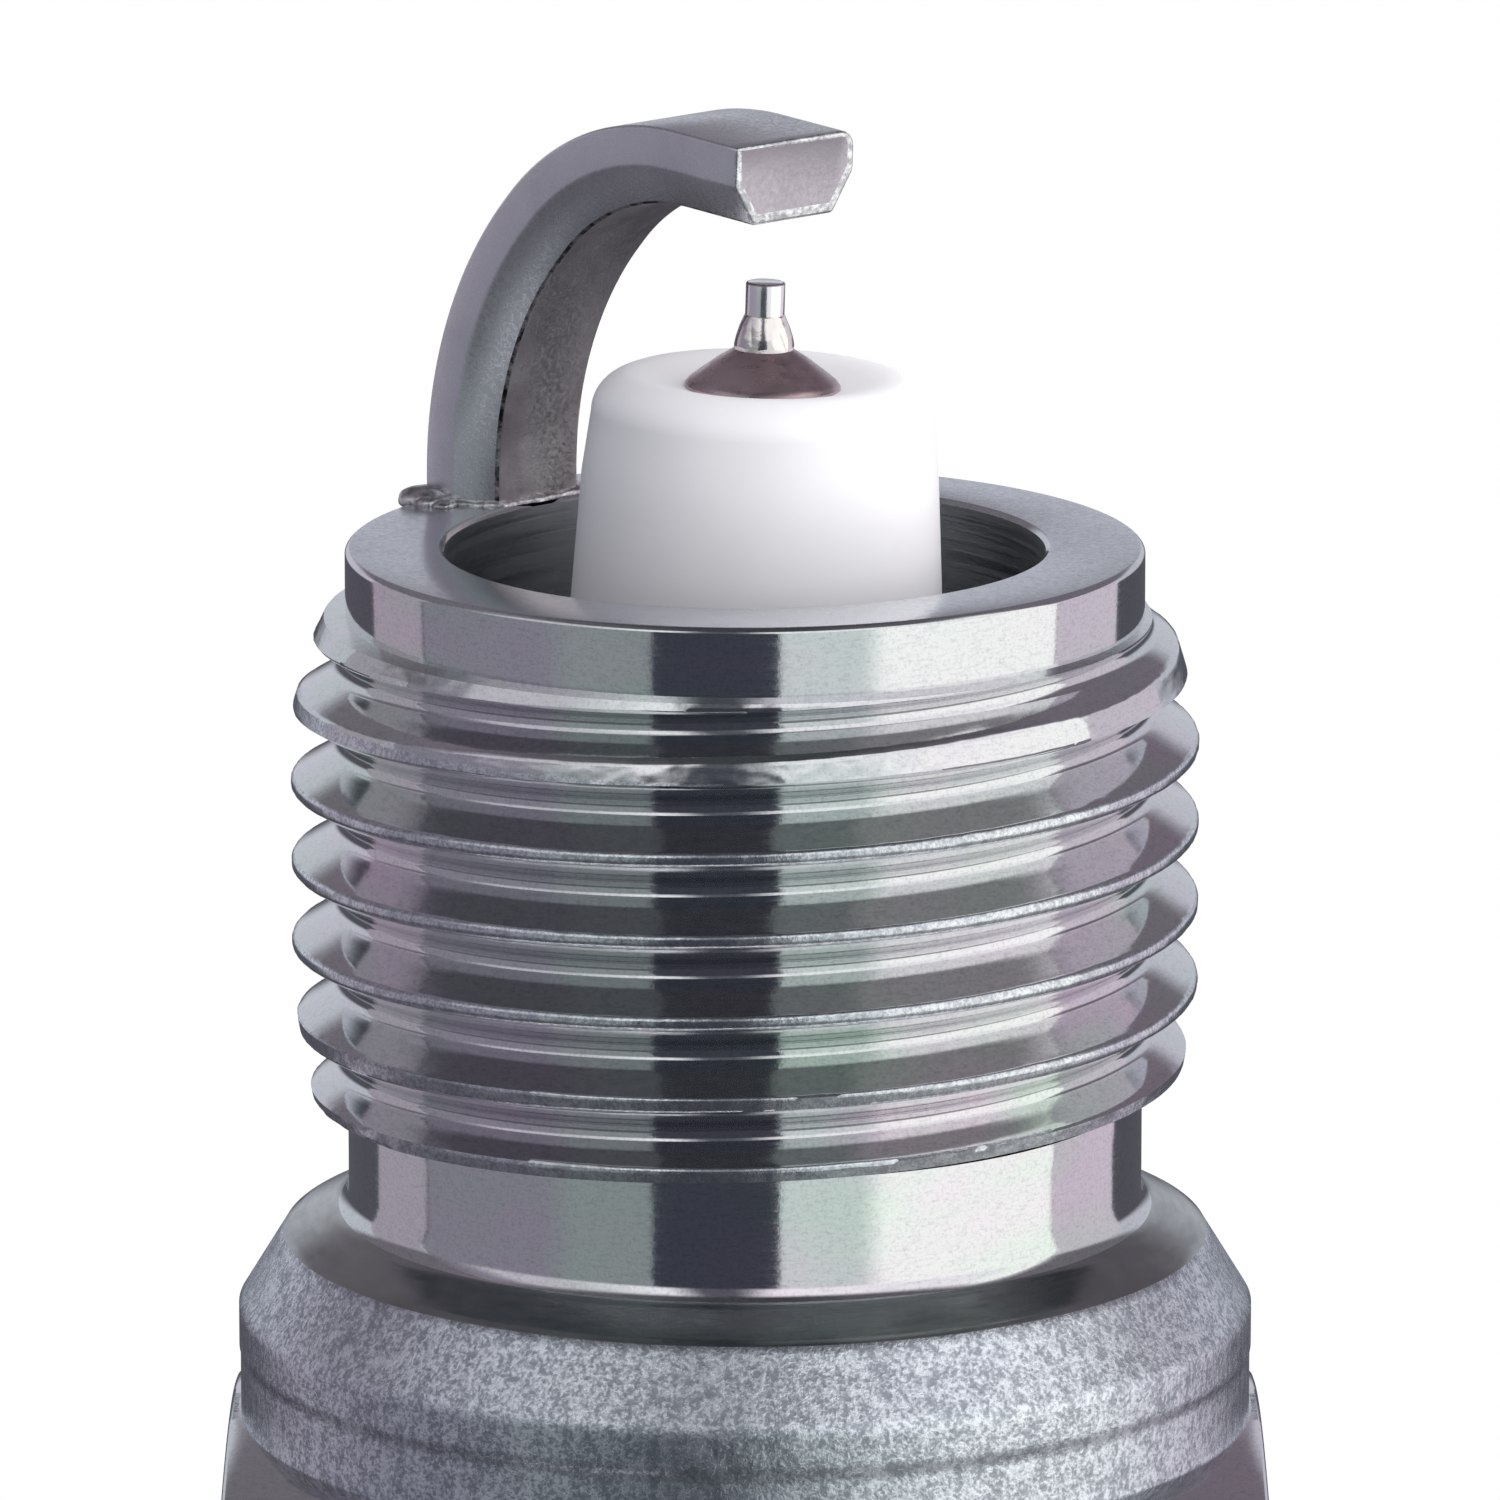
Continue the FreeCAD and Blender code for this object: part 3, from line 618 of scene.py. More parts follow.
@dataclass
class Shell:
    """The steel shell: collar, thread, neck, seat, hexagon, waist and crimped lip."""

    reach: float = 11.2
    collar_radius: float = 6.12
    collar_bottom: float = 10.05
    collar_edge: float = 0.07
    mouth_radius: float = 4.67
    mouth_chamfer: float = 0.07
    nose_bore_bottom: float = 1.6
    ledge_radius: float = 3.95
    ledge_bottom: float = 0.15
    crest: float = 6.97
    pitch: float = 1.25
    flank_angle: float = 30.0
    flank_rows: int = 7
    crest_width: float = 0.15
    crest_height: float = 9.426
    root_round: float = 0.2
    turns: int = 8
    turns_below: int = 6
    thread_bottom: float = 2.52
    thread_top: float = 10.12
    limits: tuple[Point, ...] = ((2.5, 6.14), (2.68, 6.68), (4.3, 6.97), (8.60, 6.97),
                                 (9.17, 6.80), (9.80, 6.61), (10.12, 6.45))
    wear_width: float = 0.06
    wear_top: float = 9.0
    dents: tuple[Point, ...] = ((2.1, 0.014), (6.3, 0.006))
    tuck_radius: float = 6.0
    tuck_up: float = 0.04
    tuck_down: float = -0.02
    thread_columns: int = 540
    neck_radius: float = 6.12
    neck_top: float = 2.5
    neck_bottom: float = 1.22
    shoulder_top: float = 0.84
    rough_top: float = 0.435
    hex_half: float = 7.985
    hex_inner: float = 7.85
    hex_corner: float = 9.24
    hex_top: float = -2.4
    hex_bottom: float = -11.9
    hex_chamfer: float = 0.745
    hex_edge: float = 0.07
    columns: int = 360
    row: float = 0.16
    turned: TurnedSteel = TurnedSteel()
    rough: PittedSteel = PittedSteel()
    worn: PittedSteel = PittedSteel(
        "worn_crests", (0.76, 0.79, 0.83), (0.46, 0.48, 0.53), roughness=0.20, grain_per_mm=15.0,
        depth=0.0035, streaks=0.0)
    shoulder: PlainMetal = PlainMetal(
        "brushed_shoulder", (0.46, 0.48, 0.465), (0.34, 0.36, 0.355), roughness=0.20,
        grain_per_mm=16.0, grain_depth=0.0012, stretch=(0.08, 0.08, 1.0))
    face: PlainMetal = PlainMetal(
        "faced_steel", (0.62, 0.64, 0.68), (0.56, 0.57, 0.61), roughness=0.22,
        grain_per_mm=12.0, grain_depth=0.0012)
    bore: PlainMetal = PlainMetal(
        "bore_steel", (0.40, 0.415, 0.44), (0.34, 0.355, 0.375), roughness=0.34,
        grain_per_mm=4.0, grain_depth=0.004, stretch=(0.05, 0.05, 4.0))

    def envelope(self, z: float) -> float:
        """Outer radius that the thread's crests may reach at a height.

        Args:
            z: the height.

        Returns:
            The radius, read between the two nearest of the thread's limits.
        """
        if z <= self.limits[0][0]:
            return self.limits[0][1]
        for (z0, r0), (z1, r1) in zip(self.limits, self.limits[1:]):
            if z <= z1:
                return r0 + (r1 - r0) * (z - z0) / (z1 - z0)
        return self.limits[-1][1]

    def pitch_outline(self) -> list[Point]:
        """One pitch of thread from crest to crest.

        Returns:
            Points of (radius, height above the lower crest).
        """
        half = self.crest_width / 2
        flank = math.radians(self.flank_angle)
        bottom = self.crest - (self.pitch / 2 - half) / math.tan(flank)
        centre = bottom + self.root_round / math.sin(flank)
        flank_end = centre - self.root_round * math.sin(flank)
        reach = self.pitch / 2 - self.root_round * math.cos(flank)
        # from the crest over its rounded edge, down the flank and through the root's arc
        rise = [(self.crest, 0.0), (self.crest - 0.003, half * 0.55),
                (self.crest - 0.014, half * 0.95), (self.crest - 0.045, half + 0.03),
                (self.crest - 0.09, half + 0.052)]
        start_r, start_z = rise[-1]
        rise += [(start_r + (flank_end - start_r) * i / self.flank_rows,
                  start_z + (reach - start_z) * i / self.flank_rows)
                 for i in range(1, self.flank_rows + 1)]
        arc = [(centre - self.root_round * math.cos(math.radians(angle)),
                self.pitch / 2 + self.root_round * math.sin(math.radians(angle)))
               for angle in range(-45, 46, 15)]
        return rise + arc + [(r, self.pitch - z) for r, z in reversed(rise)]

    def helix(self) -> bmesh.types.BMesh:
        """Sweep one turn of the thread, repeat it and cut the ends level.

        Returns:
            The thread at its full crest radius.
        """
        bm = bmesh.new()
        start = self.crest_height - self.turns_below * self.pitch
        verts = [bm.verts.new((r, 0, start + z)) for r, z in self.pitch_outline()]
        edges = [bm.edges.new(pair) for pair in zip(verts, verts[1:])]
        bmesh.ops.spin(bm, geom=verts + edges, cent=(0, 0, 0), axis=Z_AXIS, angle=TURN,
                       dvec=(0, 0, self.pitch / self.thread_columns), steps=self.thread_columns,
                       use_merge=False)
        turn = bm.verts[:] + bm.edges[:] + bm.faces[:]
        for k in range(1, self.turns):
            copy = bmesh.ops.duplicate(bm, geom=turn)["geom"]
            bmesh.ops.translate(bm, verts=[g for g in copy if isinstance(g, bmesh.types.BMVert)],
                                vec=(0, 0, self.pitch * k))
        bmesh.ops.remove_doubles(bm, verts=bm.verts, dist=1e-4)
        for level, side in ((self.thread_bottom, -1), (self.thread_top, 1)):
            whole = bm.verts[:] + bm.edges[:] + bm.faces[:]
            bmesh.ops.bisect_plane(bm, geom=whole, dist=1e-4, plane_co=(0, 0, level),
                                   plane_no=(0, 0, side), clear_outer=True)
        return bm

    def wear(self, bm: bmesh.types.BMesh) -> None:
        """Trim the crests to the thread's limits, dent them and mark the worn faces.

        Args:
            bm: the thread.
        """
        worn = set()
        for v in bm.verts:
            r = radius_of(v.co)
            top = min(self.crest, self.envelope(v.co.z))
            if r > top - self.wear_width:
                dent = sum(abs(noise.noise(v.co * rate)) * depth for rate, depth in self.dents)
                r = min(r, top) - dent
                if v.co.z < self.wear_top:
                    worn.add(v)
            set_radius(v.co, min(r, top))
        for f in bm.faces:
            if all(v in worn for v in f.verts):
                f.material_index = ThreadZone.CREST

    def thread(self) -> Piece:
        """The helical thread, trimmed by its tapered ends and worn at its crests.

        Returns:
            The piece, not yet written.
        """
        bm = self.helix()
        self.wear(bm)
        rims = [e for e in bm.edges if e.is_boundary]
        ledge = bmesh.ops.extrude_edge_only(bm, edges=rims)["geom"]
        middle = (self.thread_bottom + self.thread_top) / 2
        for v in (g for g in ledge if isinstance(g, bmesh.types.BMVert)):
            set_radius(v.co, self.tuck_radius)
            v.co.z += self.tuck_up if v.co.z > middle else self.tuck_down
        bmesh.ops.recalc_face_normals(bm, faces=bm.faces)
        return Piece("shell_thread", bm, [self.turned, self.worn], Slot.PLATED_STEEL,
                     ["metal_shell"], sharp=50)

    def collar(self) -> Piece:
        """The plain collar, the end face, the mouth and the bore down to the ledge.

        Returns:
            The piece, not yet written.
        """
        inner = self.mouth_radius - self.mouth_chamfer
        edge_radius = self.collar_radius - self.collar_edge
        edge_height = self.reach - self.collar_edge
        bm = spin_outline([
            (self.collar_radius, self.collar_bottom),
            (self.collar_radius, edge_height),
            (edge_radius, self.reach),
            (self.mouth_radius, self.reach),
            (inner, self.reach - self.mouth_chamfer),
            (inner, self.nose_bore_bottom),
            (self.ledge_radius, self.nose_bore_bottom - (inner - self.ledge_radius)),
            (self.ledge_radius, self.ledge_bottom),
        ], self.columns)
        soften_rings(bm, [(self.mouth_radius, self.reach, 0.02),
                          (self.collar_radius, edge_height, 0.03),
                          (edge_radius, self.reach, 0.03)])
        for f in bm.faces:
            mid = f.calc_center_median()
            if radius_of(mid) < inner + 0.005:
                f.material_index = CollarZone.BORE
            elif mid.z > self.reach - 0.012:
                f.material_index = CollarZone.FACE
        return Piece("shell_collar", bm, [self.turned, self.bore, self.face],
                     Slot.PLATED_STEEL, ["metal_shell"])

    def cut_hexagon(self, bm: bmesh.types.BMesh) -> None:
        """Cut the round blank to six flats with chamfer curves and softened edges.

        Args:
            bm: the turned body.
        """
        slope = math.tan(math.radians(30))
        middle = (self.hex_top + self.hex_bottom) / 2
        for v in bm.verts:
            if radius_of(v.co) > self.hex_corner - 0.04:
                angle = math.atan2(v.co.y, v.co.x)
                off = (angle + math.pi / 6) % (math.pi / 3) - math.pi / 6
                r = self.hex_half / math.cos(off)
                v.co.z += math.copysign((self.hex_corner - r) * slope, v.co.z - middle)
                set_radius(v.co, r)
        edges = [e for e in bm.edges
                 if all(radius_of(v.co) > self.hex_half - 0.01 for v in e.verts)
                 and len(e.link_faces) == 2 and e.calc_face_angle(0.0) > math.radians(12)]
        bmesh.ops.bevel(bm, geom=edges, offset=self.hex_edge, offset_type="OFFSET", segments=2,
                        profile=0.5, affect="EDGES", material=-1, clamp_overlap=True)
        half_height = (self.hex_top - self.hex_bottom) / 2
        flats = [e for e in bm.edges
                 if e.calc_length() > half_height and e.calc_face_angle(1.0) < 0.001]
        bmesh.ops.dissolve_edges(bm, edges=flats, use_verts=False)

    def body(self) -> Piece:
        """Neck, shoulder, conical seat, barrel, hexagon, waist and crimped lip.

        Returns:
            The piece, not yet written.
        """
        seat = [(6.1, self.neck_top + 0.25), (self.neck_radius, self.neck_top),
                (self.neck_radius, self.neck_bottom), (6.15, 1.03), (6.28, 0.86), (7.13, 0.44),
                (7.83, -0.70), (7.83, -1.35), (7.81, -1.38), (7.81, self.hex_top)]
        hexagon = [(self.hex_inner, self.hex_top),
                   (self.hex_corner, self.hex_top - self.hex_chamfer),
                   (self.hex_corner, self.hex_bottom + self.hex_chamfer),
                   (self.hex_inner, self.hex_bottom)]
        lip = [(6.95, self.hex_bottom), (6.95, -13.2), (7.1, -13.5), (7.1, -14.7),
               (6.89, -15.2), (6.4, -15.4), (5.35, -15.4), (5.35, -14.5)]
        bm = spin_outline(divided(seat, self.row) + hexagon + divided(lip, self.row),
                          self.columns)
        self.cut_hexagon(bm)
        for f in bm.faces:
            height = f.calc_center_median().z
            if self.hex_top < height < self.rough_top:
                f.material_index = BodyZone.ROUGH
            elif self.rough_top <= height < self.shoulder_top:
                f.material_index = BodyZone.SHOULDER
        return Piece("shell_body", bm, [self.turned, self.rough, self.shoulder],
                     Slot.PLATED_STEEL, ["metal_shell"])

    def build(self) -> None:
        """Build every piece of the shell."""
        for piece in (self.thread(), self.collar(), self.body()):
            piece.build()


@dataclass(frozen=True)
class Lean:
    """The small run-out of the ceramic nose: a turn about Y at a height on the axis."""

    degrees: float = 1.6
    pivot: float = 4.0

    def apply(self, bm: bmesh.types.BMesh) -> None:
        """Turn a mesh.

        Args:
            bm: the mesh, in millimetres.
        """
        bmesh.ops.rotate(bm, verts=bm.verts, cent=(0, 0, self.pivot),
                         matrix=Matrix.Rotation(math.radians(self.degrees), 3, "Y"))


@dataclass
class Insulator:
    """The ceramic insulator with its rounded nose and ribbed head."""

    lean: Lean
    tip: float = 13.85
    bore_radius: float = 1.16
    rounding: float = 0.62
    rounding_centre: float = 1.99
    rounding_start: float = 80.0
    rounding_rows: int = 12
    step_radius: float = 3.45
    head_radius: float = 5.15
    head_top: float = -12.2
    head_bottom: float = -43.2
    stud_radius: float = 1.95
    ribs: int = 5
    rib_start: float = -20.5
    rib_pitch: float = 2.7
    groove: tuple[Point, ...] = ((5.15, 0.75), (4.74, 0.42), (4.70, 0.3))
    bare: Alumina = Alumina()
    glazed: Alumina = Alumina("glazed_alumina", (0.60, 0.59, 0.585), roughness=0.35, coat=1.0)

    def nose(self) -> Piece:
        """The bare nose: its bore, its dished end, its rounded edge and its taper.

        Returns:
            The piece, not yet written.
        """
        tip = self.tip
        outline = [(self.bore_radius, 1.0), (self.bore_radius, tip - 0.20), (1.35, tip - 0.15),
                   (1.62, tip - 0.06), (1.85, tip - 0.01), (2.1, tip)]
        for i in range(1, self.rounding_rows + 1):
            angle = math.radians(self.rounding_start * (1 - i / self.rounding_rows))
            outline.append((self.rounding_centre + self.rounding * math.cos(angle),
                            tip - self.rounding + self.rounding * math.sin(angle)))
        outline += [(2.73, 12.3), (2.84, tip - 3.45), (self.step_radius, 2.0),
                    (self.step_radius, 0.2)]
        bm = spin_outline(divided(outline, 0.4), 192)
        self.lean.apply(bm)
        return Piece("insulator_nose", bm, [self.bare], Slot.ALUMINA, ["insulator"])

    def head(self) -> Piece:
        """The glazed head with its ribs and the stud's opening.

        Returns:
            The piece, not yet written.
        """
        outline = [(self.head_radius, self.head_top)]
        for rib in range(self.ribs):
            middle = self.rib_start - self.rib_pitch * rib
            outline += [(r, middle + away) for r, away in self.groove]
            outline += [(r, middle - away) for r, away in reversed(self.groove)]
        bottom = self.head_bottom
        outline += [(self.head_radius, bottom + 0.35), (self.head_radius - 0.1, bottom + 0.1),
                    (self.head_radius - 0.35, bottom), (self.stud_radius, bottom),
                    (self.stud_radius, bottom + 1.2)]
        bm = spin_outline(divided(outline, 0.5), 128)
        return Piece("insulator_head", bm, [self.glazed], Slot.ALUMINA, ["insulator"])

    def build(self) -> None:
        """Build the nose and the head."""
        for piece in (self.nose(), self.head()):
            piece.build()


class PinZone(IntEnum):
    """Finishes of the pin, in the order of its materials."""

    SIDE = 0
    EDGE = 1


@dataclass
class CentreElectrode:
    """The nickel cone, the weld bead and the iridium pin at the firing end."""

    lean: Lean
    columns: int = 160
    cone_outline: tuple[Point, ...] = (
        (1.15, 11.0), (1.15, 13.6), (1.19, 13.64), (1.19, 13.70), (1.14, 13.77), (0.93, 13.93),
        (0.70, 14.10), (0.5, 14.225), (0.45, 14.265), (0.0, 14.27))
    bead_outline: tuple[Point, ...] = (
        (0.40, 14.2), (0.455, 14.24), (0.46, 14.33), (0.435, 14.45), (0.38, 14.62),
        (0.33, 14.73), (0.31, 14.78), (0.29, 14.80))
    bead_start: float = 14.24
    bead_height: float = 0.52
    scallops: float = 2.5
    swell: float = 0.026
    pin_radius: float = 0.3
    pin_start: float = 14.6
    pin_top: float = 15.29
    alloy: PlainMetal = PlainMetal(
        "turned_electrode_alloy", (0.50, 0.38, 0.40), (0.70, 0.56, 0.58), roughness=0.32,
        grain_per_mm=9.0, grain_depth=0.0008, stretch=(0.5, 0.5, 2.0))
    weld: PlainMetal = PlainMetal(
        "laser_weld_bead", (0.86, 0.81, 0.79), (0.62, 0.56, 0.56), roughness=0.15,
        grain_per_mm=6.0, grain_depth=0.006)
    wire: PlainMetal = PlainMetal(
        "iridium_wire", (0.99, 0.95, 0.97), (0.90, 0.86, 0.90), roughness=0.17,
        grain_per_mm=9.0, grain_depth=0.001)
    wire_edge: PlainMetal = PlainMetal(
        "dark_pin_end", (0.34, 0.28, 0.33), (0.24, 0.20, 0.25), roughness=0.4)

    def cone(self) -> Piece:
        """The electrode's cone.

        Returns:
            The piece, not yet written.
        """
        bm = spin_outline(divided(self.cone_outline, 0.06), self.columns)
        self.lean.apply(bm)
        return Piece("electrode_cone", bm, [self.alloy], Slot.ELECTRODE_ALLOY,
                     ["center_electrode"])

    def bead(self) -> Piece:
        """The laser weld's bead, with a swell for each pulse of the weld.

        Returns:
            The piece, not yet written.
        """
        bm = spin_outline(divided(self.bead_outline, 0.03), self.columns)
        for v in bm.verts:
            around = self.scallops * math.atan2(v.co.y, v.co.x) + 0.6 + 1.4 * v.co.z
            share = min(max((v.co.z - self.bead_start) / self.bead_height, 0), 1)
            swell = self.swell * math.sin(math.pi * share)
            set_radius(v.co, radius_of(v.co) + swell * (abs(math.sin(around)) ** 0.6 - 0.8))
        self.lean.apply(bm)
        return Piece("tip_bead", bm, [self.weld], Slot.LASER_WELD, ["tip_weld"])

    def pin(self) -> Piece:
        """The iridium pin with its dark rounded edge.

        Returns:
            The piece, not yet written.
        """
        r, top = self.pin_radius, self.pin_top
        bm = spin_outline([(r, self.pin_start), (r, top - 0.028), (r - 0.009, top - 0.01),
                           (r - 0.03, top - 0.001), (0.0, top)], 96)
        for f in bm.faces:
            mid = f.calc_center_median()
            at_edge = mid.z > top - 0.027 and radius_of(mid) > r - 0.03
            f.material_index = PinZone.EDGE if at_edge else PinZone.SIDE
        self.lean.apply(bm)
        return Piece("tip_pin", bm, [self.wire, self.wire_edge], Slot.IRIDIUM, ["iridium_tip"])

    def build(self) -> None:
        """Build the three pieces."""
        for piece in (self.cone(), self.bead(), self.pin()):
            piece.build()


class BarZone(IntEnum):
    """Finishes of the bar, in the order of its materials."""

    BAR = 0
    BURR = 1
    CUT = 2
    UNDER = 3
    # rounded edges beside the inner face, coloured with painted shade
    EDGE_SHADE = 4


@dataclass(frozen=True)
class Stretch:
    """One stretch of the bar's path.

    With no heading it is straight and size is its length. Otherwise it is an arc that ends at the
    heading, in degrees from +Z towards the axis, and size is the radius of the bar's outer face.
    """

    size: float
    heading: float | None = None


@dataclass
class GroundElectrode:
    """The bent bar over the tip, with its chamfered inner edges and sheared end."""

    angle: float = 133.0
    outer: float = 5.97
    width: float = 2.45
    thickness: float = 1.25
    chamfer_width: float = 0.4
    chamfer_depth: float = 0.62
    round_edge: float = 0.27
    edge: float = 0.055
    foot: float = 11.255
    path: tuple[Stretch, ...] = (Stretch(0.35), Stretch(6.58, 43.4), Stretch(0.17),
                                 Stretch(4.73, 93.2), Stretch(1.5))
    row: float = 0.25
    row_angle: float = 1.6
    end_edge: float = 0.05
    burr_width: float = 0.08
    burr_shift: float = 0.04
    cut_depth: float = 0.012
    shortest: float = 0.045
    bar: PlainMetal = PlainMetal(
        "drawn_nickel_bar", (0.76, 0.77, 0.80), (0.66, 0.67, 0.70), roughness=0.29,
        grain_per_mm=14.0, grain_depth=0.0022)
    burr: PittedSteel = PittedSteel(
        "sheared_burr", (0.90, 0.90, 0.92), (0.50, 0.50, 0.54), roughness=0.30,
        grain_per_mm=7.0, depth=0.012, streaks=0.0)
    cut: PlainMetal = PlainMetal(
        "sheared_face", (0.56, 0.51, 0.57), (0.50, 0.46, 0.52), roughness=0.42,
        grain_per_mm=14.0, grain_depth=0.003)
    under: PlainMetal = PlainMetal(
        "inner_face", (0.62, 0.59, 0.61), (0.34, 0.31, 0.33), roughness=0.36,
        grain_per_mm=13.0, grain_depth=0.0045)
    # painted shade: a mottled near-black band on the rounded edges between the inner face and its
    # chamfers
    edge_shade: PittedSteel = PittedSteel(
        "inner_edge_painted_shade", (0.62, 0.60, 0.62), (0.03, 0.03, 0.03), roughness=0.4,
        grain_per_mm=4.5, depth=0.02, streaks=0.0)

    def corners(self) -> list[Point]:
        """Corners of the bar's section.

        Returns:
            Points of (distance from the axis, place across the width).
        """
        inner = self.outer - self.thickness
        half = self.width / 2
        return [(self.outer, half), (inner + self.chamfer_depth, half),
                (inner, half - self.chamfer_width), (inner, self.chamfer_width - half),
                (inner + self.chamfer_depth, -half), (self.outer, -half)]

    def section(self, bm: bmesh.types.BMesh) -> bmesh.types.BMFace:
        """Draw the section at the foot and round its corners, one of them more than the others.

        Args:
            bm: an empty mesh.

        Returns:
            The section's face.
        """
        bm.faces.new([bm.verts.new((x, y, self.foot)) for x, y in self.corners()])
        bm.verts.ensure_lookup_table()
        others, rounder = bm.verts[:5], bm.verts[5:]
        bmesh.ops.bevel(bm, geom=rounder, offset=self.round_edge, offset_type="OFFSET",
                        segments=4, profile=0.5, affect="VERTICES", material=-1)
        bmesh.ops.bevel(bm, geom=others, offset=self.edge, offset_type="OFFSET",
                        segments=3, profile=0.5, affect="VERTICES", material=-1)
        bm.faces.ensure_lookup_table()
        return bm.faces[0]

    def sweep(self, bm: bmesh.types.BMesh,
              face: bmesh.types.BMFace) -> tuple[bmesh.types.BMFace, float]:
        """Sweep the section along the bar's path.

        Args:
            bm: the mesh.
            face: the section's face.

        Returns:
            The face at the bar's end and the heading there, in radians.
        """
        heading = 0.0
        at = Vector((self.outer, 0, self.foot))
        geom: list = [face]
        for stretch in self.path:
            if stretch.heading is None:
                ahead = Vector((-math.sin(heading), 0, math.cos(heading))) * stretch.size
                steps = max(1, round(stretch.size / self.row))
                out = bmesh.ops.spin(bm, geom=geom, cent=at, axis=(0, 1, 0), angle=0.0,
                                     dvec=ahead / steps, steps=steps, use_merge=False)
                at = at + ahead
            else:
                turn = math.radians(stretch.heading) - heading
                inward = Vector((-math.cos(heading), 0, -math.sin(heading)))
                centre = at + inward * stretch.size
                steps = max(4, round(turn / math.radians(self.row_angle)))
                out = bmesh.ops.spin(bm, geom=geom, cent=centre, axis=(0, -1, 0), angle=turn,
                                     steps=steps, use_merge=False)
                heading += turn
                outward = Vector((math.cos(heading), 0, math.sin(heading)))
                at = centre + outward * stretch.size
            geom = list(out["geom_last"])
        end = next(g for g in geom if isinstance(g, bmesh.types.BMFace))
        return end, heading

    def mark_inner(self, bm: bmesh.types.BMesh, end: bmesh.types.BMFace) -> None:
        """Mark the inner face, and the rounded edges beside it that take a painted near-black shade.

        Args:
            bm: the swept bar.
            end: the face at its end.
        """
        inward = Vector((-1, 0, -0.35))
        for f in bm.faces:
            if f.normal.dot(inward) <= 0.2:
                continue
            if abs(f.normal.y) < 0.3 and f is not end:
                f.material_index = BarZone.UNDER
            # the rounded edges beside the inner face take the painted shade
            if 0.25 < abs(f.normal.y) < 0.74:
                f.material_index = BarZone.EDGE_SHADE

    def trim_end(self, bm: bmesh.types.BMesh, end: bmesh.types.BMFace, heading: float) -> None:
        """Give the sheared end its soft edge, its burr and its sunk face.

        Args:
            bm: the swept bar.
            end: the face at its end.
            heading: the bar's heading there, in radians.
        """
        end.material_index = BarZone.CUT
        bmesh.ops.bevel(bm, geom=list(end.edges), offset=self.end_edge, offset_type="OFFSET",
                        segments=3, profile=0.5, affect="EDGES", material=BarZone.BURR,
                        clamp_overlap=True)
        end = self.cut_face(bm)
        rim = bmesh.ops.inset_region(bm, faces=[end], thickness=self.burr_width,
                                     use_even_offset=True)["faces"]
        for f in rim:
            f.material_index = BarZone.BURR
        short = [e for e in end.edges if e.calc_length() < self.shortest]
        bmesh.ops.collapse(bm, edges=short)
        end = self.cut_face(bm)
        outward = Vector((math.cos(heading), 0, math.sin(heading)))
        bmesh.ops.translate(bm, verts=end.verts,
                            vec=outward * self.burr_shift - end.normal * self.cut_depth)

    def cut_face(self, bm: bmesh.types.BMesh) -> bmesh.types.BMFace:
        """Find the sheared face.

        Args:
            bm: the bar.

        Returns:
            The largest face with that finish.
        """
        cut = [f for f in bm.faces if f.material_index == BarZone.CUT]
        return max(cut, key=lambda f: f.calc_area())

    def build(self) -> None:
        """Build the bar and turn it to its place round the axis."""
        bm = bmesh.new()
        end, heading = self.sweep(bm, self.section(bm))
        bmesh.ops.recalc_face_normals(bm, faces=bm.faces)
        self.mark_inner(bm, end)
        self.trim_end(bm, end, heading)
        bmesh.ops.rotate(bm, verts=bm.verts, cent=(0, 0, 0),
                         matrix=Matrix.Rotation(math.radians(self.angle), 3, "Z"))
        Piece("ground_bar", bm, [self.bar, self.burr, self.cut, self.under, self.edge_shade],
              Slot.NICKEL_ALLOY, ["ground_electrode"]).build()


@dataclass(frozen=True)
class Drop:
    """A drop of weld metal thrown out beside the bar."""

    x: float
    y: float
    radius: float
    height: float


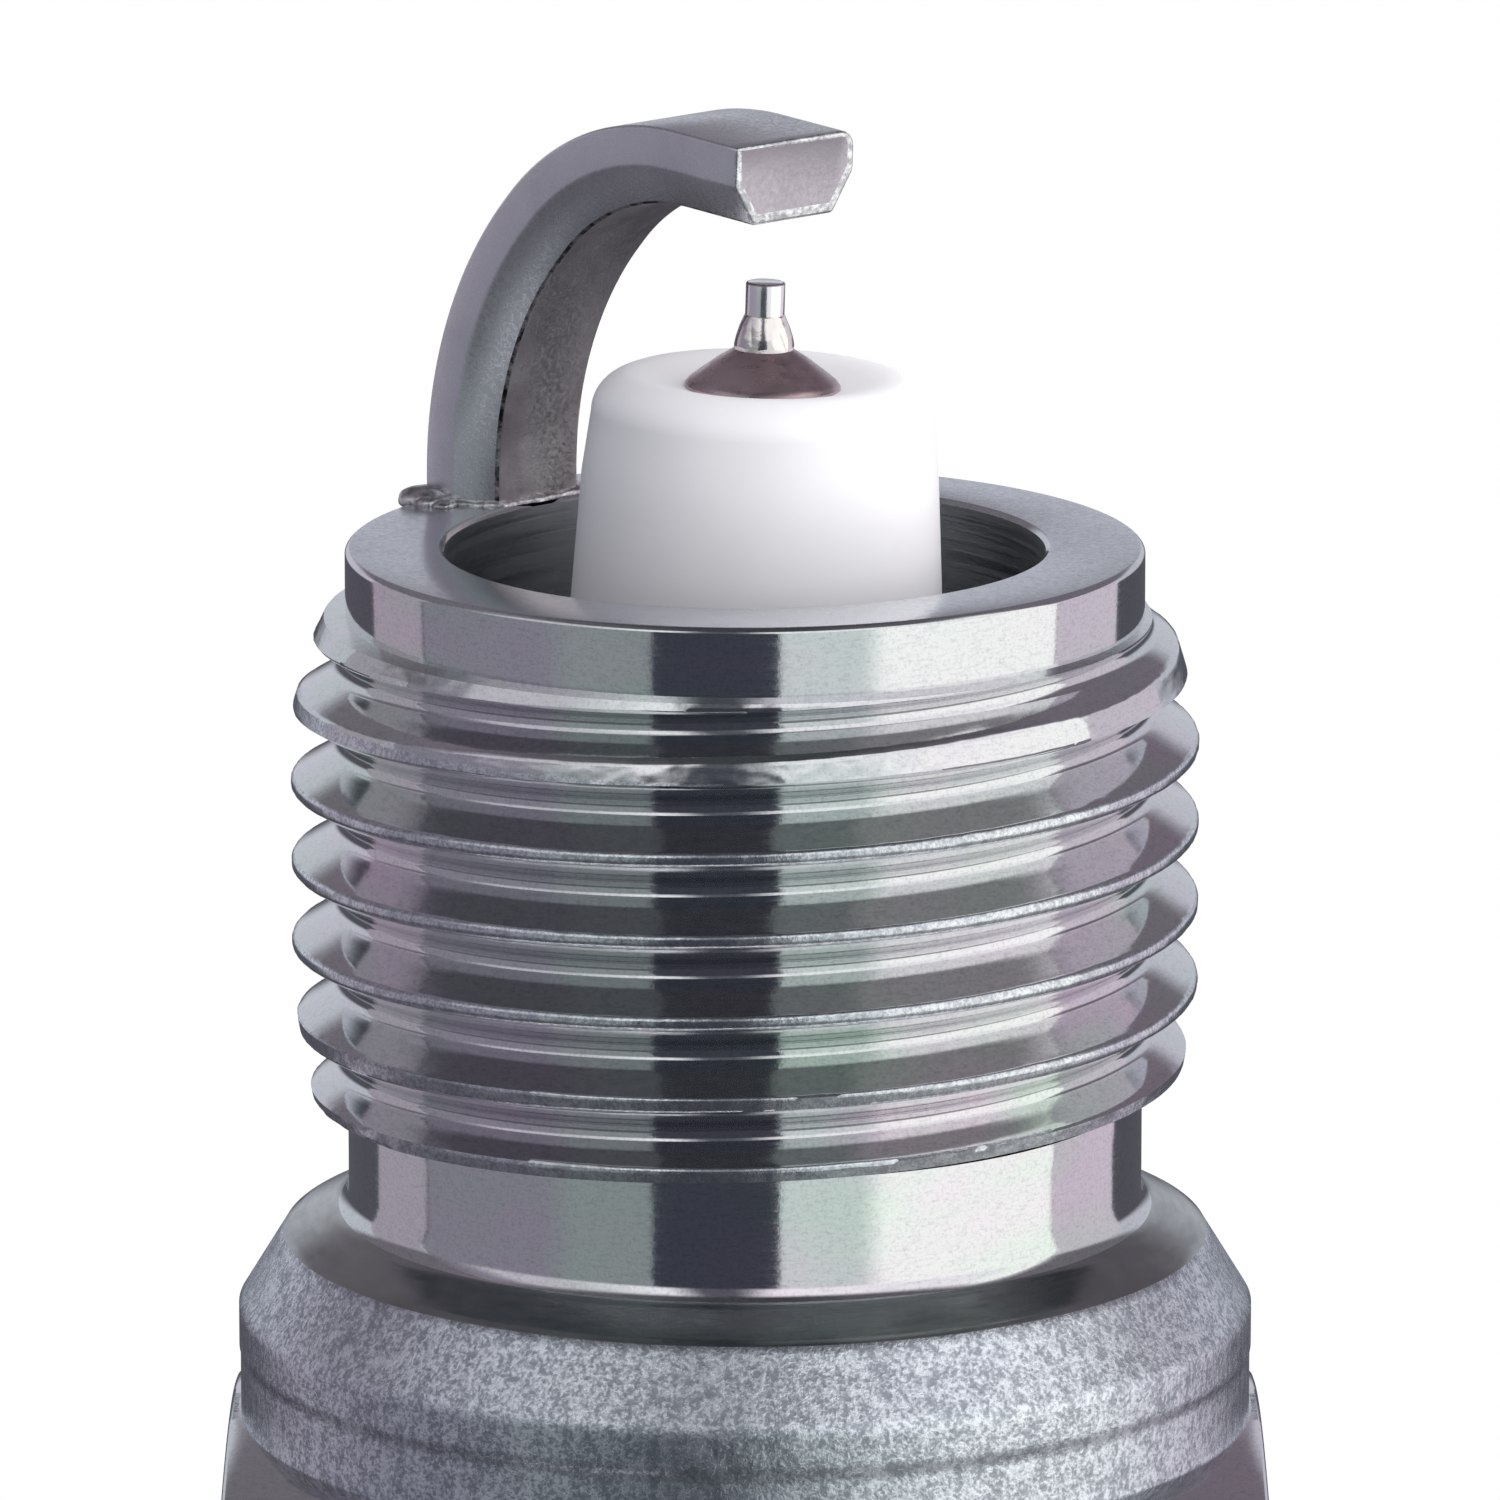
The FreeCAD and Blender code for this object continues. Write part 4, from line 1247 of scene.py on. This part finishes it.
@dataclass
class Weld:
    """The uneven flash squeezed out round the foot of the ground electrode."""

    bar: GroundElectrode
    base: float = 11.19
    rows: int = 7
    cuts: int = 31
    widest: float = 0.34
    side: float = 0.20
    outside: float = 0.06
    lumps: float = 0.09
    drops: tuple[Drop, ...] = (Drop(5.86, 1.36, 0.38, 0.18), Drop(5.60, 1.46, 0.26, 0.12),
                               Drop(5.32, 1.42, 0.22, 0.08))
    metal: PittedSteel = PittedSteel(
        "weld_flash", (0.74, 0.73, 0.75), (0.30, 0.28, 0.29), roughness=0.36,
        grain_per_mm=6.0, depth=0.008, streaks=0.0)

    def size_at(self, place: Vector) -> tuple[float, float]:
        """Width and height of the flash at a point of the foot's outline.

        Args:
            place: the point, with x along the bar's radius and y across its width.

        Returns:
            The width and the height in millimetres.
        """
        wave = 0.5 + 0.6 * noise.noise(place * 1.9 + Vector((3.1, 0.4, 0)))
        fine = 1.0 + 0.25 * noise.noise(place * 6.0)
        side = self.widest if place.y > self.bar.width / 2 - 0.02 else self.side
        inward = self.outside if place.x > self.bar.outer - 0.05 else side
        width = inward * (0.4 + 0.6 * wave) * fine
        height = (0.07 + 0.07 * wave) * fine
        return max(width, 0.03), min(max(height, 0.04), 0.35)

    def add_flash(self, bm: bmesh.types.BMesh) -> None:
        """Extrude the foot's outline outwards and down in rounded rows.

        Args:
            bm: an empty mesh.
        """
        corners = self.bar.corners()
        verts = [bm.verts.new((x, y, self.base)) for x, y in corners[-1:] + corners[:-1]]
        edges = [bm.edges.new((verts[i - 1], verts[i])) for i in range(len(verts))]
        bmesh.ops.subdivide_edges(bm, edges=edges, cuts=self.cuts)
        middle = self.bar.outer - self.bar.thickness / 2
        edges = bm.edges[:]
        foot = {}
        for v in bm.verts:
            out = Vector(((v.co.x - middle) / self.bar.thickness, v.co.y / self.bar.width, 0))
            foot[v] = (v.co.copy(), out.normalized(), self.size_at(v.co))
            v.co.z = self.base + foot[v][2][1]
        for row in range(1, self.rows + 1):
            angle = math.radians(90 * row / self.rows)
            new = bmesh.ops.extrude_edge_only(bm, edges=edges)["geom"]
            edges = [g for g in new if isinstance(g, bmesh.types.BMEdge)
                     and all(v not in foot for v in g.verts)]
            for v in {v for e in edges for v in e.verts}:
                above = min((u for u in (e.other_vert(v) for e in v.link_edges) if u in foot),
                            key=lambda u: (u.co.xy - v.co.xy).length)
                foot[v] = foot[above]
                start, out, (width, height) = foot[v]
                lump = 1 + self.lumps * noise.noise(v.co * 6.0 + Vector((row * 0.35, 0, 0)))
                v.co = start + out * width * math.sin(angle) * lump
                rise = height * math.cos(angle) ** 0.8 * lump if row < self.rows else 0.0
                v.co.z = self.base + rise

    def add_drops(self, bm: bmesh.types.BMesh) -> None:
        """Add the lumpy flattened drops.

        Args:
            bm: the mesh that takes them.
        """
        for drop in self.drops:
            made = bmesh.ops.create_icosphere(bm, subdivisions=4, radius=drop.radius)["verts"]
            for v in made:
                seed = v.co / drop.radius * 0.9 + Vector((drop.x, drop.y, 0))
                v.co *= 1 + 0.24 * noise.noise(seed)
                flat = v.co.z * drop.height / drop.radius
                v.co = Vector((v.co.x + drop.x, v.co.y + drop.y,
                               self.base + drop.height * 0.35 + flat))

    def build(self) -> None:
        """Build the flash and the drops and turn them to the bar's place."""
        bm = bmesh.new()
        self.add_flash(bm)
        self.add_drops(bm)
        bmesh.ops.recalc_face_normals(bm, faces=bm.faces)
        bmesh.ops.rotate(bm, verts=bm.verts, cent=(0, 0, 0),
                         matrix=Matrix.Rotation(math.radians(self.bar.angle), 3, "Z"))
        Piece("weld_bead", bm, [self.metal], Slot.WELD_METAL, ["ground_electrode_weld"],
              sharp=60).build()


@dataclass
class Terminal:
    """The push-on terminal nut at the cap's end."""

    radius: float = 3.175
    top: float = -43.92
    bottom: float = -53.02
    bore_radius: float = 2.06
    bore_end: float = -51.5
    chamfer: float = 0.15
    groove_radius: float = 2.75
    groove_top: float = -45.62
    groove_bottom: float = -47.52
    groove_slope: float = 0.25
    rounding: float = 0.45
    rounding_rows: int = 8
    end_radius: float = 1.4
    edge: float = 0.05
    metal: TurnedSteel = TurnedSteel(
        "terminal_plated_steel", (0.66, 0.66, 0.67), (0.68, 0.66, 0.68), (0.64, 0.66, 0.65),
        roughness=0.14, rings_per_mm=9.0, ring_depth=0.0004)

    def build(self) -> None:
        """Build the nut with its groove and rounded end."""
        r, groove = self.radius, self.groove_radius
        upper, lower = self.groove_top - self.groove_slope, self.groove_bottom + self.groove_slope
        outline = [(self.bore_radius, self.bore_end), (self.bore_radius, self.top),
                   (r - self.chamfer, self.top), (r, self.top - self.chamfer),
                   (r, self.groove_top), (groove, upper), (groove, lower),
                   (r, self.groove_bottom)]
        for i in range(self.rounding_rows + 1):
            angle = math.radians(90 * i / self.rounding_rows)
            outline.append((r - self.rounding + self.rounding * math.cos(angle),
                            self.bottom + self.rounding - self.rounding * math.sin(angle)))
        outline += [(self.end_radius, self.bottom), (0.0, self.bottom)]
        bm = spin_outline(divided(outline, 0.6), 160)
        soften_rings(bm, [(r, self.groove_top, self.edge), (r, self.groove_bottom, self.edge),
                          (groove, upper, self.edge), (groove, lower, self.edge)], 2)
        Piece("terminal_cap_piece", bm, [self.metal], Slot.TERMINAL_STEEL, ["terminal_nut"],
              Body.CAP).build()


@dataclass
class Inside:
    """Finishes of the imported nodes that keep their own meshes."""

    steel: PlainMetal = PlainMetal(
        "stud_steel", (0.55, 0.55, 0.56), (0.48, 0.48, 0.5), roughness=0.28)
    packing: PlainMetal = PlainMetal(
        "packing_steel", (0.5, 0.5, 0.5), (0.4, 0.4, 0.41), roughness=0.4)
    copper: PlainMetal = PlainMetal(
        "drawn_copper", (0.80, 0.42, 0.26), (0.72, 0.36, 0.22), roughness=0.3)
    glass: PlainMetal = PlainMetal(
        "glass_seal", (0.20, 0.16, 0.13), (0.28, 0.22, 0.18), roughness=0.25,
        grain_per_mm=6.0, grain_depth=0.004, metallic=0.3)
    mix: PlainMetal = PlainMetal(
        "resistor_mix", (0.06, 0.06, 0.06), (0.10, 0.10, 0.10), roughness=0.6,
        grain_per_mm=9.0, grain_depth=0.006, metallic=0.0)
    talc: PlainMetal = PlainMetal(
        "talc_powder", (0.74, 0.73, 0.70), (0.66, 0.65, 0.62), roughness=0.8,
        grain_per_mm=7.0, grain_depth=0.006, metallic=0.0)

    def dress(self, parts: dict[str, bpy.types.Object]) -> None:
        """Give every kept node its finish.

        Args:
            parts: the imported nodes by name.
        """
        finishes = {
            "terminal_stud": self.steel, "plate_packing": self.packing,
            "packing_ring_lower": self.packing, "packing_ring_upper": self.packing,
            "talc_fill": self.talc, "copper_core": self.copper, "lower_glass_seal": self.glass,
            "upper_glass_seal": self.glass, "resistor": self.mix,
        }
        for name, finish in finishes.items():
            mesh = parts[name].data
            mesh.materials.clear()
            mesh.materials.append(finish.make())
            LOG.info("%s: dressed as %s", name, finish.name)


# ---------------------------------------------------------------- studio


@dataclass(frozen=True)
class Panel:
    """An upright soft panel, given by its azimuths in degrees from -Y towards +X."""

    low: float
    high: float
    colour: Colour
    soft: float = 0.8
    fade: float = 0.4

    def share(self, nodes: Nodes, azimuth: bpy.types.NodeSocket) -> bpy.types.NodeSocket:
        """How much of the panel shows at an azimuth.

        Args:
            nodes: the world's tree.
            azimuth: azimuth in degrees.

        Returns:
            1 inside the panel and 0 outside.
        """
        rise = nodes.between(azimuth, self.low, self.low + self.soft)
        fall = nodes.between(azimuth, self.high - self.fade, self.high + self.fade, 1.0, 0.0)
        return nodes.math("MULTIPLY", rise, fall)


@dataclass
class Studio:
    """Camera, soft light and pale floor."""

    distance: float = 204.1
    elevation: float = 13.156
    aim_up: float = 1.7363
    aim_right: float = 0.0764
    target: float = 6.2
    lens: float = 318.7
    drop: float = 8.6
    floor_radius: float = 44.0
    panels: tuple[Panel, ...] = (
        Panel(-134.0, -105.5, (0.44, 0.40, 0.46)),
        Panel(-105.0, -48.0, (0.28, 0.27, 0.32)),
        Panel(-62.0, -26.7, (0.30, 0.34, 0.34), soft=14.0),
        Panel(-26.7, 9.5, (0.055, 0.06, 0.08)),
        Panel(9.5, 45.0, (0.76, 0.83, 0.81)),
        Panel(32.0, 100.0, (1.25, 1.26, 1.22), soft=10.0),
        Panel(100.0, 134.0, (0.74, 0.68, 0.75)),
    )
    ground: Colour = (0.10, 0.10, 0.12)
    room: Colour = (0.62, 0.64, 0.70)
    top_light: Colour = (1.1, 1.1, 1.12)
    table: Colour = (0.062, 0.06, 0.07)
    back_wall: Colour = (0.20, 0.18, 0.21)
    ceiling: Colour = (0.065, 0.07, 0.075)
    ceiling_sides: Colour = (0.14, 0.135, 0.15)
    matte_left: Colour = (0.0, 0.02, 0.07)
    matte_right: Colour = (2.75, 2.72, 2.74)

    def camera(self) -> None:
        """Place the camera in front of the firing end."""
        e = math.radians(self.elevation)
        back = Vector((0, -math.cos(e), math.sin(e)))
        up = Vector((0, math.sin(e), math.cos(e)))
        target = Vector((0, 0, self.target))
        place = target + back * self.distance
        aim = target + up * self.aim_up + Vector((1, 0, 0)) * self.aim_right
        data = bpy.data.cameras.new("camera")
        data.lens = self.lens
        data.sensor_width = 36.0
        data.clip_start, data.clip_end = 0.01, 10.0
        camera = bpy.data.objects.new("camera", data)
        camera.location = place * MM
        camera.rotation_mode = "QUATERNION"
        camera.rotation_quaternion = (aim - place).to_track_quat("-Z", "Y")
        bpy.context.scene.collection.objects.link(camera)
        bpy.context.scene.camera = camera

    def reflected(self, nodes: Nodes,
                  way: Sequence[bpy.types.NodeSocket]) -> bpy.types.NodeSocket:
        """What shiny surfaces see: the panels, the light above and the darker ends.

        Args:
            nodes: the world's tree.
            way: the direction's X, Y and Z.

        Returns:
            The colour in that direction.
        """
        x, y, z = way
        azimuth = nodes.math("ARCTAN2", x, nodes.math("MULTIPLY", y, -1.0))
        azimuth = nodes.math("MULTIPLY", azimuth, 180 / math.pi)
        height = nodes.math("MULTIPLY", nodes.math("ARCSINE", z), 180 / math.pi)
        colour = nodes.mix(nodes.between(height, -8.0, 2.0), self.ground, self.room)
        for panel in self.panels:
            colour = nodes.mix(panel.share(nodes, azimuth), colour, panel.colour)
        # the light above the camera, with a gap over the dark panel
        strip = nodes.math("MULTIPLY", nodes.between(azimuth, -26.0, -12.0, 1.0, 0.06),
                           nodes.between(azimuth, -60.0, -20.0, 0.45, 1.0))
        strip = nodes.math("MAXIMUM", strip, nodes.between(azimuth, -4.0, 12.0, 0.06, 1.0))
        lit_above = nodes.math("MULTIPLY", nodes.between(height, 14.0, 26.0), strip)
        ahead = nodes.between(y, -0.2, 0.1, 1.0, 0.0)
        colour = nodes.mix(nodes.math("MULTIPLY", lit_above, ahead), colour, self.top_light)
        # the table under the plug, the wall behind it and the ceiling
        low = nodes.mix(0.25, self.table, colour)
        colour = nodes.mix(nodes.between(height, -28.0, -18.0, 1.0, 0.0), colour, low)
        behind_high = nodes.mix(nodes.between(height, 13.6, 21.0), colour, self.back_wall)
        colour = nodes.mix(nodes.between(y, 0.1, 0.25), colour, behind_high)
        sides = nodes.mix(nodes.between(nodes.math("ABSOLUTE", x), 0.12, 0.42), self.ceiling,
                          self.ceiling_sides)
        return nodes.mix(nodes.between(height, 46.0, 60.0), colour, sides)

    def light(self) -> None:
        """Draw the light on the world.

        Shiny surfaces see the panels, and matte ones a soft light that grows towards +X.
        """
        world = bpy.data.worlds.new("studio")
        world.use_nodes = True
        bpy.context.scene.world = world
        nodes = Nodes(world.node_tree)
        way = nodes.xyz(nodes.add("TexCoord").outputs["Generated"])
        soft = nodes.mix(nodes.between(way[0], -1.0, 1.0, smooth=False), self.matte_left,
                         self.matte_right)
        path = nodes.add("LightPath")
        colour = nodes.mix(path.outputs["Is Diffuse Ray"], self.reflected(nodes, way), soft)
        colour = nodes.mix(path.outputs["Is Camera Ray"], colour, (1.0, 1.0, 1.0))
        background = nodes.add("Background")
        nodes.feed(background.inputs["Color"], colour)
        out = nodes.add("OutputWorld")
        nodes.feed(out.inputs["Surface"], background.outputs[0])

    def floor(self) -> None:
        """A pale round floor, low enough for the terminal nut's slide."""
        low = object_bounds()[0].z / MM - self.drop
        bm = bmesh.new()
        bmesh.ops.create_circle(bm, cap_ends=True, segments=96, radius=self.floor_radius)
        bmesh.ops.translate(bm, verts=bm.verts, vec=(0, 0, low))
        bmesh.ops.transform(bm, matrix=Matrix.Scale(MM, 4), verts=bm.verts)
        mesh = bpy.data.meshes.new("floor")
        bm.to_mesh(mesh)
        bm.free()
        mesh.materials.append(Alumina("pale_floor", (0.8, 0.8, 0.8), roughness=0.8).make())
        floor = bpy.data.objects.new("floor", mesh)
        bpy.context.scene.collection.objects.link(floor)
        floor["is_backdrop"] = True


def main() -> None:
    """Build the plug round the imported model, then the studio."""
    logging.basicConfig(level=logging.INFO)
    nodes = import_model()["nodes"]
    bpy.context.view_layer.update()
    bpy.context.scene.view_settings.view_transform = "Standard"
    lean = Lean()
    bar = GroundElectrode()
    for assembly in (Shell(), Insulator(lean), CentreElectrode(lean), bar, Weld(bar), Terminal()):
        assembly.build()
    Inside().dress(nodes)
    studio = Studio()
    studio.camera()
    studio.light()
    studio.floor()


if __name__ == "__main__":
    main()
